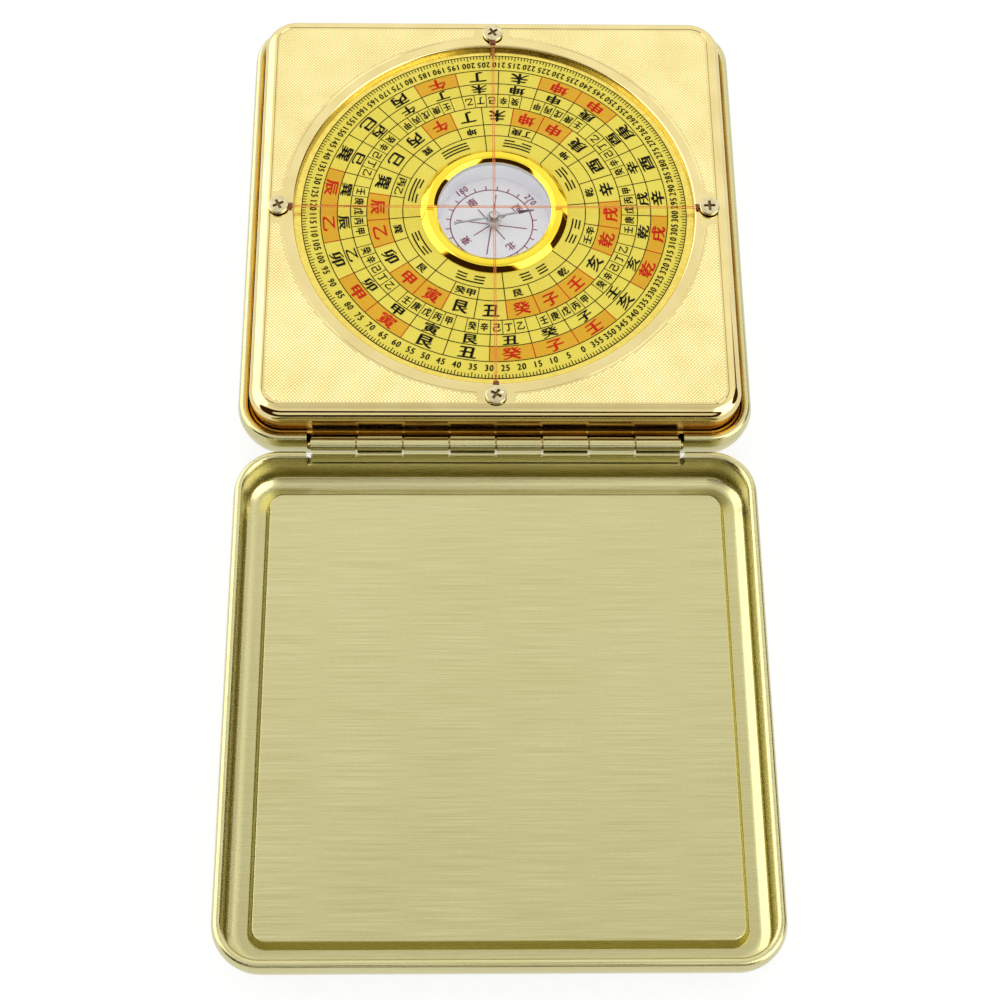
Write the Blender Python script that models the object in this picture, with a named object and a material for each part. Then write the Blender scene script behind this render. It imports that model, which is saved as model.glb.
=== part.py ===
"""Folding pocket luopan, a geomancer's compass in a hinged brass case, modelled open.

The hinge runs along X, the case lies toward +Y and the lid toward -Y, both on the table at Z = 0.
The origin is on the table under the middle of the hinge.
"""

import math

import bmesh
import bpy
from mathutils import Vector

MM = 0.001

# Fits
seat_gap = 0.3 * MM
slip_gap = 0.2 * MM
overrun = 1.0 * MM
weld_distance = 0.0002 * MM

# Case shells, the same stamping for the case and the lid
case_width = 86.6 * MM
case_corner = 7.6 * MM
sheet = 0.8 * MM
rim_width = 1.5 * MM
rim_round = 0.35 * MM
wall_bulge = 0.4 * MM
inner_fillet = 2.7 * MM
outer_fillet = 4.5 * MM
flange_width = 0.75 * MM
panel_corner = 2.9 * MM
panel_step = 2.4 * MM
panel_slope = 0.65 * MM
bulge_share = 0.8
slope_inset_share = 0.76

# Hinge
hinge_setback = 12.4 * MM
hinge_offset = 0.7 * MM
hinge_rise = 0.15 * MM
knuckle_count = 8
knuckle_radius = 1.05 * MM
knuckle_gap = 0.3 * MM
leaf_sheet = 0.45 * MM
leaf_gap = 0.22 * MM
notch_depth = 3.2 * MM
notch_margin = 0.6 * MM
pin_gap = 0.18 * MM
pin_end = 0.4 * MM
pin_chamfer_share = 0.3
roll_sweep = math.radians(280)

# Face plate
plate_rise = 4.85 * MM
plate_sheet = 0.8 * MM
plate_round = 1.2 * MM
plate_corner = 5.6 * MM
plate_border = 6.3 * MM
opening_chamfer = 0.2 * MM

# Screws, posts and crosshair threads
screw_head_radius = 1.78 * MM
screw_head_height = 0.5 * MM
screw_head_round = 0.18 * MM
shank_radius = 0.8 * MM
shank_length = 4.0 * MM
recess_length = 2.0 * MM
recess_width = 0.42 * MM
recess_depth = 0.3 * MM
post_wall = 0.45 * MM
post_gap = 0.45 * MM
thread_diameter = 0.24 * MM
thread_spacing = 0.44 * MM
thread_lift = 0.3 * MM
throat_length = 2.2 * MM

# Dial, turntable and what carries them
dial_depth = 1.1 * MM
dial_overlap = 0.7 * MM
dial_sheet = 0.5 * MM
turntable_sheet = 1.0 * MM
felt_setback = 2.5 * MM
felt_width = 6.0 * MM
felt_thickness = 0.7 * MM
carrier_sheet = 1.0 * MM
pad_border = 3.0 * MM

# Compass capsule
cup_inner_radius = 9.8 * MM
cup_rim_wall = 1.15 * MM
cup_floor = 0.8 * MM
cup_collar = 1.5 * MM
ring_sight = 0.15 * MM
ring_lip = 0.5 * MM
ring_lip_wall = 0.55 * MM
ring_overhang = 1.15 * MM
ring_drop = 0.12 * MM
glass_thickness = 0.6 * MM
card_thickness = 0.3 * MM

# Needle and its pivot
needle_clearance = 2.7 * MM
needle_width = 0.34 * MM
needle_sheet = 0.25 * MM
needle_tip_length = 2.6 * MM
needle_tip_width = 0.62 * MM
needle_tail_width = 0.6 * MM
needle_heading = math.radians(11.6)
hub_headroom = 0.9 * MM
hub_radius = 1.35 * MM
hub_neck_radius = 0.75 * MM
hub_height = 2.8 * MM
hub_neck_height = 0.55 * MM
hub_bore_radius = 0.75 * MM
hub_roof = 0.5 * MM
hub_clearance = 0.38 * MM
jewel_radius = 0.5 * MM
jewel_height = 0.35 * MM
pivot_radius = 0.3 * MM
pivot_point_radius = 0.08 * MM
pivot_cone = 1.0 * MM
pivot_seat = 0.45 * MM

# Facets
corner_steps = 6
turn_steps = 64
small_steps = 40
tiny_steps = 16
round_steps = 5
edge_steps = 2
roll_steps = 12
bend_steps = 8
dome_steps = 6
smooth_angle = math.radians(35)

# The case, worked out from the sizes above
head_rise = thread_diameter + slip_gap / 2 + screw_head_height
panel_depth = plate_rise + head_rise + seat_gap - 2 * hinge_rise
shell_depth = panel_depth + panel_step + sheet
case_half = case_width / 2
case_center = hinge_offset + case_half
rim_outer = case_half - wall_bulge
rim_inner = rim_outer - rim_width
belly_inner = case_half - rim_width
panel_half = belly_inner - inner_fillet - flange_width
hinge_length = case_width - 2 * hinge_setback
hinge_height = shell_depth + hinge_rise
leaf_setback = knuckle_radius + leaf_gap + leaf_sheet / 2
pin_radius = knuckle_radius - leaf_sheet - pin_gap

# The face plate, its screws and the dial
plate_top = shell_depth + plate_rise
plate_half = rim_inner - seat_gap
plate_under = plate_top - plate_sheet
opening_radius = plate_half - plate_border
dial_radius = opening_radius + dial_overlap
dial_top = plate_top - dial_depth
post_radius = shank_radius + slip_gap + post_wall
screw_circle = dial_radius + post_gap + post_radius
head_top = plate_top + head_rise
head_under = head_top - screw_head_height
thread_height = plate_top + slip_gap / 4 + thread_diameter / 2
turntable_top = dial_top - dial_sheet - slip_gap
felt_top = turntable_top - turntable_sheet - seat_gap
carrier_top = felt_top - felt_thickness - seat_gap
carrier_half = plate_half - plate_sheet - seat_gap

# The capsule, from its ring down to its floor
ring_inner_radius = cup_inner_radius + ring_sight
rebate_radius = ring_inner_radius + ring_lip_wall
glass_radius = rebate_radius - slip_gap
cup_radius = rebate_radius + cup_rim_wall
collar_radius = cup_radius + cup_collar
ring_outer_radius = cup_radius + ring_overhang
ring_under = dial_top + slip_gap
lip_under = plate_top - ring_drop - ring_lip
glass_top = lip_under - slip_gap
glass_under = glass_top - glass_thickness
rebate_floor = glass_under - slip_gap
hub_top = glass_under - hub_headroom
hub_under = hub_top - hub_height
needle_top = hub_top - hub_neck_height
needle_under = needle_top - needle_sheet
card_top = hub_under - hub_clearance
cup_floor_top = card_top - card_thickness - slip_gap
cup_under = cup_floor_top - cup_floor
jewel_top = hub_top - hub_roof - slip_gap / 2
pivot_top = jewel_top - jewel_height - slip_gap / 2
pivot_under = cup_floor_top - pivot_seat
needle_length = 2 * (cup_inner_radius - needle_clearance)

DIRECTIONS = {"north": (0, 1), "east": (1, 0), "south": (0, -1), "west": (-1, 0)}


def clear_scene():
    """Start from an empty scene."""
    for obj in list(bpy.data.objects):
        bpy.data.objects.remove(obj)


def linear(channel):
    """One sRGB channel, 0 to 1, as linear light."""
    return channel / 12.92 if channel <= 0.04045 else ((channel + 0.055) / 1.055) ** 2.4


def make_material(name, hex_colour, roughness, metallic, transmission=0.0):
    """A Principled material from an sRGB colour."""
    channels = [int(hex_colour[i : i + 2], 16) / 255 for i in (0, 2, 4)]
    colour = [linear(channel) for channel in channels] + [1.0]
    material = bpy.data.materials.new(name)
    material.use_nodes = True
    shader = material.node_tree.nodes["Principled BSDF"]
    shader.inputs["Base Color"].default_value = colour
    shader.inputs["Roughness"].default_value = roughness
    shader.inputs["Metallic"].default_value = metallic
    shader.inputs["Transmission Weight"].default_value = transmission
    material.diffuse_color = colour
    return material


def make_materials():
    """The finishes of the real pieces."""
    return {
        "brushed_brass": make_material("brushed_brass", "CDC891", 0.35, 1.0),
        "polished_gold": make_material("polished_gold", "F4DE92", 0.12, 1.0),
        "nickel_steel": make_material("nickel_steel", "C9C3BA", 0.25, 1.0),
        "nylon_thread": make_material("nylon_thread", "D9713A", 0.45, 0.0),
        "printed_dial": make_material("printed_dial", "E4D650", 0.45, 0.0),
        "turned_brass": make_material("turned_brass", "C9AE62", 0.3, 1.0),
        "white_lacquer": make_material("white_lacquer", "E2E0E6", 0.4, 0.0),
        "printed_card": make_material("printed_card", "E6E4F0", 0.6, 0.0),
        "clear_glass": make_material("clear_glass", "F4F8F8", 0.03, 0.0, 0.95),
        "felt": make_material("felt", "3A4A3C", 0.95, 0.0),
        "foam": make_material("foam", "4A4A4A", 0.95, 0.0),
        "agate": make_material("agate", "8A3A34", 0.15, 0.0),
    }


def finish_object(name, bm, material):
    """Turn a bmesh into a named, smooth-shaded object."""
    bmesh.ops.recalc_face_normals(bm, faces=bm.faces)
    mesh = bpy.data.meshes.new(name)
    bm.to_mesh(mesh)
    bm.free()
    mesh.shade_smooth()
    mesh.set_sharp_from_angle(angle=smooth_angle)
    mesh.materials.append(material)
    obj = bpy.data.objects.new(name, mesh)
    bpy.context.scene.collection.objects.link(obj)
    return obj


def make_axis(name, location, parent=None):
    """An empty on a joint's axis, which carries the pieces of the body that turns there."""
    empty = bpy.data.objects.new(name, None)
    bpy.context.scene.collection.objects.link(empty)
    empty.parent = parent
    empty.location = location
    return empty


def place(obj, parent, x=0, y=0, z=0, turn=0):
    """Put a piece under its parent."""
    obj.parent = parent
    obj.location = (x, y, z)
    obj.rotation_euler.z = turn
    return obj


def arc(center_a, center_b, radius, start, end, steps):
    """Points of an arc in a plane, by angle in degrees, both ends included."""
    angles = [math.radians(start + (end - start) * i / steps) for i in range(steps + 1)]
    return [(center_a + radius * math.cos(a), center_b + radius * math.sin(a)) for a in angles]


def rounded_ring(bm, half, radius, z):
    """A square ring of points with rounded corners, centred on the Z axis."""
    inner = half - radius
    ring = []
    for corner, (sx, sy) in enumerate([(1, 1), (-1, 1), (-1, -1), (1, -1)]):
        points = arc(sx * inner, sy * inner, radius, 90 * corner, 90 * corner + 90, corner_steps)
        ring += [bm.verts.new((x, y, z)) for x, y in points]
    return ring


def stack_rings(name, rings, material):
    """A closed solid from rings of (half width, corner radius, height), capped at both ends."""
    bm = bmesh.new()
    loops = [rounded_ring(bm, *ring) for ring in rings]
    for low, high in zip(loops, loops[1:]):
        count = len(low)
        for i in range(count):
            j = (i + 1) % count
            bm.faces.new((low[i], low[j], high[j], high[i]))
    bm.faces.new(loops[0])
    bm.faces.new(loops[-1])
    return finish_object(name, bm, material)


def turn_profile(name, profile, material, steps=turn_steps, closed=True):
    """A turned solid from (radius, height) points; an open profile starts and ends on the axis."""
    bm = bmesh.new()
    verts = [bm.verts.new((radius, 0, z)) for radius, z in profile]
    pairs = list(zip(verts, verts[1:])) + ([(verts[-1], verts[0])] if closed else [])
    edges = [bm.edges.new(pair) for pair in pairs]
    center = (0, 0, 0)
    axis = (0, 0, 1)
    bmesh.ops.spin(
        bm, geom=verts + edges, cent=center, axis=axis, angle=math.tau, steps=steps, use_merge=True
    )
    bmesh.ops.remove_doubles(bm, verts=bm.verts, dist=weld_distance)
    return finish_object(name, bm, material)


def make_box(name, low, high, material):
    """A plain block between two corners, used as a cutter."""
    bm = bmesh.new()
    bmesh.ops.create_cube(bm, size=1)
    size = Vector(high) - Vector(low)
    middle = (Vector(high) + Vector(low)) / 2
    for vert in bm.verts:
        vert.co = Vector(v * s for v, s in zip(vert.co, size)) + middle
    return finish_object(name, bm, material)


def make_drill(name, radius, low, high, material, steps=small_steps):
    """A round cutter that runs a little past both faces."""
    floor = low - overrun
    roof = high + overrun
    profile = [(0, floor), (radius, floor), (radius, roof), (0, roof)]
    return turn_profile(name, profile, material, steps, closed=False)


def cut(obj, cutter):
    """Cut one object out of another and keep the cutter out of the model."""
    cutter.hide_render = True
    cutter.display_type = "WIRE"
    cutter.parent = obj.parent
    modifier = obj.modifiers.new(cutter.name, "BOOLEAN")
    modifier.object = cutter
    return obj


def shell_rings():
    """The section of the stamped shell, from the raised panel out, over the rim and back below."""
    panel_radius = panel_corner - panel_slope
    inset = sheet * slope_inset_share

    def side(half, z):
        return (half, case_corner - (case_half - half), z)

    rings = [
        (panel_half - panel_slope, panel_radius, sheet + panel_step),
        (panel_half, panel_corner, sheet),
    ]
    rim_edge = shell_depth - rim_round
    bulge_height = shell_depth * bulge_share
    middle = (rim_edge + bulge_height) / 2
    flare = wall_bulge * bulge_share
    path = arc(belly_inner - inner_fillet, sheet + inner_fillet, inner_fillet, -90, 0, round_steps)
    path += [(belly_inner, bulge_height), (rim_inner + flare, middle)]
    path += arc(rim_inner + rim_round, rim_edge, rim_round, 180, 90, edge_steps)
    path += arc(rim_outer - rim_round, rim_edge, rim_round, 90, 0, edge_steps)
    path += [(rim_outer + flare, middle)]
    foot = case_half - outer_fillet
    for i in range(round_steps + 1):
        turn = math.pi / 2 * i / round_steps
        path.append((foot + outer_fillet * math.cos(turn), bulge_height * (1 - math.sin(turn))))
    rings += [side(half, z) for half, z in path]
    rings += [
        (panel_half - inset, panel_corner - inset, 0),
        (panel_half - inset - panel_slope, panel_radius - inset, panel_step),
    ]
    return rings


def make_shell(name, parent, drop, center, turn, material):
    """One stamped shell, notched for the hinge in the wall that faces the axis."""
    shell = stack_rings(name, shell_rings(), material)
    place(shell, parent, y=center, z=-drop, turn=turn)
    notch_half = hinge_length / 2 + notch_margin
    wall_outside = -case_half - overrun
    wall_inside = -rim_inner + seat_gap
    low = (-notch_half, wall_outside, shell_depth - notch_depth)
    high = (notch_half, wall_inside, shell_depth + overrun)
    notch = make_box(name + "_notch", low, high, material)
    cut(shell, notch)
    place(notch, parent, y=center, z=-drop, turn=turn)
    return shell


def hook_outline():
    """The web and rolled knuckle above the leaf's strip, as (y, z) points round the hinge axis."""
    inside = knuckle_radius - leaf_sheet
    turns = [-math.pi / 2 - roll_sweep * i / roll_steps for i in range(roll_steps + 1)]
    outer = [(knuckle_radius * math.cos(a), knuckle_radius * math.sin(a)) for a in turns]
    inner = [(inside * math.cos(a), inside * math.sin(a)) for a in reversed(turns)]
    return outer + inner + [(leaf_setback + leaf_sheet / 2, -inside)]


def make_leaf(name, parent, turn, material):
    """A hinge leaf: one strip in the shell's notch with every second knuckle rolled from it."""
    near = leaf_setback - leaf_sheet / 2
    far = leaf_setback + leaf_sheet / 2
    bottom = -(hinge_rise + notch_depth - seat_gap)
    pitch = hinge_length / knuckle_count
    bm = bmesh.new()

    def section(x):
        corners = [(near, bottom), (far, bottom), (far, -knuckle_radius), (near, -knuckle_radius)]
        return [bm.verts.new((x, y, z)) for y, z in corners]

    spans = []
    for index in range(0, knuckle_count, 2):
        left = -hinge_length / 2 + index * pitch
        spans.append((left + knuckle_gap / 2, left + pitch - knuckle_gap / 2))
    places = [x for span in spans for x in span] + [hinge_length / 2 - knuckle_gap / 2]
    sections = [section(x) for x in places]
    for i, (a, b) in enumerate(zip(sections, sections[1:])):
        for j, k in ((0, 1), (1, 2), (3, 0)):
            bm.faces.new((a[j], a[k], b[k], b[j]))
        if i % 2:
            bm.faces.new((a[2], a[3], b[3], b[2]))
            continue
        rows = []
        for corner in (a, b):
            x = corner[0].co.x
            hook = [bm.verts.new((x, y, z)) for y, z in hook_outline()]
            rows.append([corner[3]] + hook + [corner[2]])
        for (p, q), (r, s) in zip(zip(rows[0], rows[0][1:]), zip(rows[1], rows[1][1:])):
            bm.faces.new((p, q, s, r))
        bm.faces.new(rows[0])
        bm.faces.new(rows[1])
    bm.faces.new(sections[0])
    bm.faces.new(sections[-1])
    leaf = finish_object(name, bm, material)
    return place(leaf, parent, turn=turn)


def make_hinge_pin(parent, material):
    """The pin through all the knuckles, with its two ends showing in the notches."""
    half = hinge_length / 2 + pin_end
    chamfer = pin_radius * pin_chamfer_share
    profile = [
        (0, -half),
        (pin_radius - chamfer, -half),
        (pin_radius, -half + chamfer),
        (pin_radius, half - chamfer),
        (pin_radius - chamfer, half),
        (0, half),
    ]
    pin = turn_profile("hinge_pin", profile, material, steps=tiny_steps, closed=False)
    place(pin, parent, z=hinge_height)
    pin.rotation_euler.y = math.pi / 2
    return pin


def make_face_plate(parent, material):
    """The polished plate round the dial, with its sides turned down into the case."""
    skirt_under = sheet + inner_fillet + seat_gap
    inner_half = plate_half - plate_sheet
    inner_corner = plate_corner - plate_sheet

    def ring(half, z):
        return (half, plate_corner - (plate_half - half), z)

    inner_round = plate_round - plate_sheet
    rings = [(inner_half - inner_round, inner_corner - inner_round, plate_under)]
    rings += [(inner_half, inner_corner, plate_under - inner_round)]
    rings += [(inner_half, inner_corner, skirt_under), ring(plate_half, skirt_under)]
    curve = arc(plate_half - plate_round, plate_top - plate_round, plate_round, 0, 90, round_steps)
    rings += [ring(half, z) for half, z in curve]
    plate = place(stack_rings("face_plate", rings, material), parent, y=case_center)
    profile = [
        (0, plate_under - overrun),
        (opening_radius, plate_under - overrun),
        (opening_radius, plate_top - opening_chamfer),
        (opening_radius + opening_chamfer + overrun, plate_top + overrun),
        (0, plate_top + overrun),
    ]
    opening = turn_profile("dial_opening", profile, material, closed=False)
    cut(plate, place(opening, parent, y=case_center))
    for name, (dx, dy) in DIRECTIONS.items():
        radius = shank_radius + slip_gap
        hole = make_drill("plate_hole_" + name, radius, plate_under, plate_top, material, tiny_steps)
        cut(plate, place(hole, parent, x=dx * screw_circle, y=case_center + dy * screw_circle))
    return plate


def make_screw(name, parent, x, y, material):
    """A small cross-recessed screw whose shank carries a crosshair thread under its head."""
    profile = [
        (0, head_under - shank_length),
        (shank_radius, head_under - shank_length),
        (shank_radius, head_under),
        (screw_head_radius, head_under),
        (screw_head_radius, head_top - screw_head_round),
        (screw_head_radius - screw_head_round, head_top),
        (0, head_top),
    ]
    screw = turn_profile(name, profile, material, tiny_steps, closed=False)
    place(screw, parent, x=x, y=y)
    long_half = recess_length / 2
    short_half = recess_width / 2
    floor = head_top - recess_depth
    slots = (("_slot_a", long_half, short_half), ("_slot_b", short_half, long_half))
    for suffix, half_x, half_y in slots:
        low = (-half_x, -half_y, floor)
        high = (half_x, half_y, head_top + overrun)
        slot = make_box(name + suffix, low, high, material)
        cut(screw, place(slot, parent, x=x, y=y))
    return screw


def make_post(name, parent, x, y, material):
    """A threaded post between the carrier plate and the face plate."""
    bore = shank_radius + slip_gap
    low = carrier_top + slip_gap
    high = plate_under - slip_gap
    profile = [(bore, low), (post_radius, low), (post_radius, high), (bore, high)]
    post = turn_profile(name, profile, material, tiny_steps)
    return place(post, parent, x=x, y=y)


def thread_route(lift):
    """A doubled thread from screw to screw along X: two strands that part round each shank."""
    loop_radius = shank_radius + slip_gap / 2 + thread_diameter / 2
    strand = thread_spacing / 2
    throat = screw_circle - loop_radius - throat_length
    side = [(x, strand) for x in (-throat, -throat / 2, 0, throat / 2, throat)]
    bend = arc(screw_circle, 0, loop_radius, 120, -120, bend_steps)
    half_loop = side + bend
    other = [(-x, -y) for x, y in half_loop]
    route = []
    for x, y in half_loop + other:
        share = max(0, 1 - abs(x) / throat)
        route.append((x, y, lift * share))
    return route


def make_thread(name, parent, turn, lift, material):
    """One crosshair thread, a closed nylon loop held by two opposite screws."""
    curve = bpy.data.curves.new(name, "CURVE")
    curve.dimensions = "3D"
    curve.bevel_depth = thread_diameter / 2
    curve.bevel_resolution = 1
    curve.use_fill_caps = False
    route = thread_route(lift)
    spline = curve.splines.new("POLY")
    spline.points.add(len(route) - 1)
    for point, (x, y, z) in zip(spline.points, route):
        point.co = (x, y, z, 1)
    spline.use_cyclic_u = True
    curve.materials.append(material)
    obj = bpy.data.objects.new(name, curve)
    bpy.context.scene.collection.objects.link(obj)
    return place(obj, parent, y=case_center, z=thread_height, turn=turn)


def make_ring_plate(name, inner, outer, top, thickness, material):
    """A flat turned washer, given its top height."""
    bottom = top - thickness
    profile = [(inner, bottom), (outer, bottom), (outer, top), (inner, top)]
    return turn_profile(name, profile, material)


def make_carrier(parent, material):
    """The square plate that carries the posts and in whose hole the capsule cup turns."""
    corner = plate_corner - plate_sheet - seat_gap
    under = carrier_top - carrier_sheet
    rings = [(carrier_half, corner, under), (carrier_half, corner, carrier_top)]
    carrier = place(stack_rings("carrier_plate", rings, material), parent, y=case_center)
    hole = make_drill("carrier_hole", cup_radius + seat_gap, under, carrier_top, material)
    return cut(carrier, place(hole, parent, y=case_center))


def make_felt(parent, material):
    """The felt ring on the carrier plate, which brakes the turntable."""
    outer = dial_radius - felt_setback
    inner = outer - felt_width
    felt = make_ring_plate("felt_ring", inner, outer, felt_top, felt_thickness, material)
    return place(felt, parent, y=case_center)


def make_pad(parent, material):
    """The foam pad between the case floor and the carrier plate, open under the capsule."""
    under = sheet + panel_step + seat_gap
    top = carrier_top - carrier_sheet - seat_gap
    half = panel_half - panel_slope - pad_border
    rings = [(half, pad_border, under), (half, pad_border, top)]
    pad = place(stack_rings("foam_pad", rings, material), parent, y=case_center)
    hole = make_drill("pad_hole", cup_radius + pad_border, under, top, material)
    return cut(pad, place(hole, parent, y=case_center))


def make_dial_disc(parent, material):
    """The thin dial that carries the print, round the capsule's ring."""
    inner = cup_radius + slip_gap
    disc = make_ring_plate("dial_disc", inner, dial_radius, dial_top, dial_sheet, material)
    return place(disc, parent)


def make_turntable(parent, material):
    """The stiff plate under the dial, between the felt and the dial."""
    inner = cup_radius + slip_gap
    outer = dial_radius - slip_gap
    plate = make_ring_plate(
        "turntable_plate", inner, outer, turntable_top, turntable_sheet, material
    )
    return place(plate, parent)


def make_card(parent, material):
    """The printed card on the cup's floor, round the pivot."""
    inner = pivot_radius + slip_gap
    outer = cup_inner_radius - slip_gap
    card = make_ring_plate("compass_card", inner, outer, card_top, card_thickness, material)
    return place(card, parent)


def make_capsule_cup(parent, material):
    """The deep cup of the compass, with a rebate for the glass and a collar under the turntable."""
    collar_top = turntable_top - turntable_sheet - slip_gap
    collar_under = carrier_top + slip_gap
    socket = pivot_radius + slip_gap / 2
    profile = [
        (0, cup_under),
        (cup_radius, cup_under),
        (cup_radius, collar_under),
        (collar_radius, collar_under),
        (collar_radius, collar_top),
        (cup_radius, collar_top),
        (cup_radius, dial_top),
        (rebate_radius, dial_top),
        (rebate_radius, rebate_floor),
        (cup_inner_radius, rebate_floor),
        (cup_inner_radius, cup_floor_top),
        (socket, cup_floor_top),
        (socket, pivot_under - slip_gap / 2),
        (0, pivot_under - slip_gap / 2),
    ]
    cup = turn_profile("capsule_cup", profile, material, small_steps, closed=False)
    return place(cup, parent)


def make_capsule_ring(parent, material):
    """The domed gold ring that holds the glass down."""
    top = plate_top - ring_drop
    middle = (ring_outer_radius + ring_inner_radius) / 2
    half_width = (ring_outer_radius - ring_inner_radius) / 2
    dome = []
    for i in range(dome_steps + 1):
        angle = math.pi * i / dome_steps
        low = ring_under if angle < math.pi / 2 else lip_under
        dome.append((middle + half_width * math.cos(angle), low + (top - low) * math.sin(angle)))
    profile = dome + [(rebate_radius, lip_under), (rebate_radius, ring_under)]
    return place(turn_profile("capsule_ring", profile, material, small_steps), parent)


def make_glass(parent, material):
    """The flat glass under the ring's lip."""
    corners = [(glass_radius, glass_under), (glass_radius, glass_top)]
    profile = [(0, glass_under)] + corners + [(0, glass_top)]
    glass = turn_profile("capsule_glass", profile, material, small_steps, closed=False)
    return place(glass, parent)


def make_needle(parent, material):
    """The thin needle with its arrow tip and wider tail, punched to sit round the hub's neck."""
    half = needle_length / 2
    narrow = needle_width / 2
    tip_base = half - needle_tip_length
    eye = hub_neck_radius + slip_gap / 2
    eye_outside = eye + needle_width
    reach = math.sqrt(eye_outside**2 - narrow**2)
    spread = math.degrees(math.asin(narrow / eye_outside))
    outline = [(reach, narrow)]
    outline += arc(0, 0, eye_outside, spread, 180 - spread, bend_steps)[1:-1]
    outline += [(-reach, narrow), (-half + needle_tail_width, narrow)]
    outline += [(-half, needle_tail_width / 2)]
    lower = [(x, -y) for x, y in reversed(outline)]
    tip = [(half, narrow / 2), (tip_base, needle_tip_width / 2), (tip_base, narrow)]
    tip_lower = [(x, -y) for x, y in reversed(tip)]
    outline = tip + outline + lower + tip_lower
    bm = bmesh.new()
    base = bm.faces.new([bm.verts.new((x, y, needle_under)) for x, y in outline])
    grown = bmesh.ops.extrude_face_region(bm, geom=[base])
    moved = [item for item in grown["geom"] if isinstance(item, bmesh.types.BMVert)]
    bmesh.ops.translate(bm, verts=moved, vec=(0, 0, needle_sheet))
    needle = place(finish_object("compass_needle", bm, material), parent, turn=needle_heading)
    hole = make_drill("needle_eye", eye, needle_under, needle_top, material, tiny_steps)
    return cut(needle, place(hole, parent))


def make_hub(parent, material):
    """The turned hub that rides on the pivot, with a neck for the needle."""
    shoulder = needle_under - slip_gap / 2
    profile = [
        (hub_bore_radius, hub_under),
        (hub_radius, hub_under),
        (hub_radius, shoulder),
        (hub_neck_radius, shoulder),
        (hub_neck_radius, hub_top),
        (0, hub_top),
        (0, jewel_top + slip_gap / 2),
        (jewel_radius + slip_gap / 2, jewel_top + slip_gap / 2),
        (jewel_radius + slip_gap / 2, hub_under + hub_bore_radius),
    ]
    return place(turn_profile("needle_hub", profile, material, tiny_steps), parent)


def make_jewel(parent, material):
    """The agate cap bearing inside the hub."""
    low = jewel_top - jewel_height
    profile = [(0, low), (jewel_radius, low), (jewel_radius, jewel_top), (0, jewel_top)]
    jewel = turn_profile("hub_jewel", profile, material, tiny_steps, closed=False)
    return place(jewel, parent)


def make_pivot(parent, material):
    """The steel pivot pin, pressed in the cup's floor and pointed on top."""
    profile = [
        (0, pivot_under),
        (pivot_radius, pivot_under),
        (pivot_radius, pivot_top - pivot_cone),
        (pivot_point_radius, pivot_top),
        (0, pivot_top),
    ]
    pivot = turn_profile("pivot_pin", profile, material, tiny_steps, closed=False)
    return place(pivot, parent)


def make_case(materials):
    """The case half, which stays still."""
    base = make_axis("base_frame", (0, 0, 0))
    make_shell("base_shell", base, 0, case_center, 0, materials["brushed_brass"])
    hinge = make_axis("hinge_frame", (0, 0, hinge_height), base)
    make_leaf("base_hinge_leaf", hinge, 0, materials["brushed_brass"])
    make_hinge_pin(base, materials["turned_brass"])
    make_face_plate(base, materials["polished_gold"])
    make_carrier(base, materials["turned_brass"])
    make_pad(base, materials["foam"])
    for name, (dx, dy) in DIRECTIONS.items():
        x = dx * screw_circle
        y = case_center + dy * screw_circle
        make_screw("screw_" + name, base, x, y, materials["nickel_steel"])
        make_post("post_" + name, base, x, y, materials["turned_brass"])
    thread = materials["nylon_thread"]
    make_thread("crosshair_thread_east_west", base, 0, 0, thread)
    make_thread("crosshair_thread_north_south", base, math.pi / 2, thread_lift, thread)
    make_felt(base, materials["felt"])
    return base


def make_lid(base, materials):
    """The lid half, which folds over the case about the hinge pin."""
    lid = make_axis("lid_axis", (0, 0, hinge_height), base)
    make_shell("lid_shell", lid, hinge_height, -case_center, math.pi, materials["brushed_brass"])
    make_leaf("lid_hinge_leaf", lid, math.pi, materials["brushed_brass"])
    return lid


def make_dial(base, materials):
    """The dial with its capsule, which turns in the face plate."""
    dial = make_axis("dial_axis", (0, case_center, 0), base)
    make_dial_disc(dial, materials["printed_dial"])
    make_turntable(dial, materials["turned_brass"])
    make_capsule_cup(dial, materials["white_lacquer"])
    make_capsule_ring(dial, materials["polished_gold"])
    make_glass(dial, materials["clear_glass"])
    make_card(dial, materials["printed_card"])
    make_pivot(dial, materials["nickel_steel"])
    return dial


def make_swinging_needle(dial, materials):
    """The needle, which swings on the pivot."""
    swing = make_axis("needle_axis", (0, 0, 0), dial)
    make_needle(swing, materials["nickel_steel"])
    make_hub(swing, materials["nickel_steel"])
    make_jewel(swing, materials["agate"])
    return swing


def main():
    """Build the compass, open and at rest."""
    clear_scene()
    materials = make_materials()
    base = make_case(materials)
    make_lid(base, materials)
    dial = make_dial(base, materials)
    make_swinging_needle(dial, materials)


main()
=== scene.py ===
"""Looks of a folding pocket luopan: brushed brass case, gold face plate, printed dial, needle capsule.

Lengths are metres. X runs along the hinge, the case lies toward +Y, the lid toward -Y.
"""

import functools
import math

import bmesh
import bpy
from mathutils import Matrix, Vector


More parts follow.
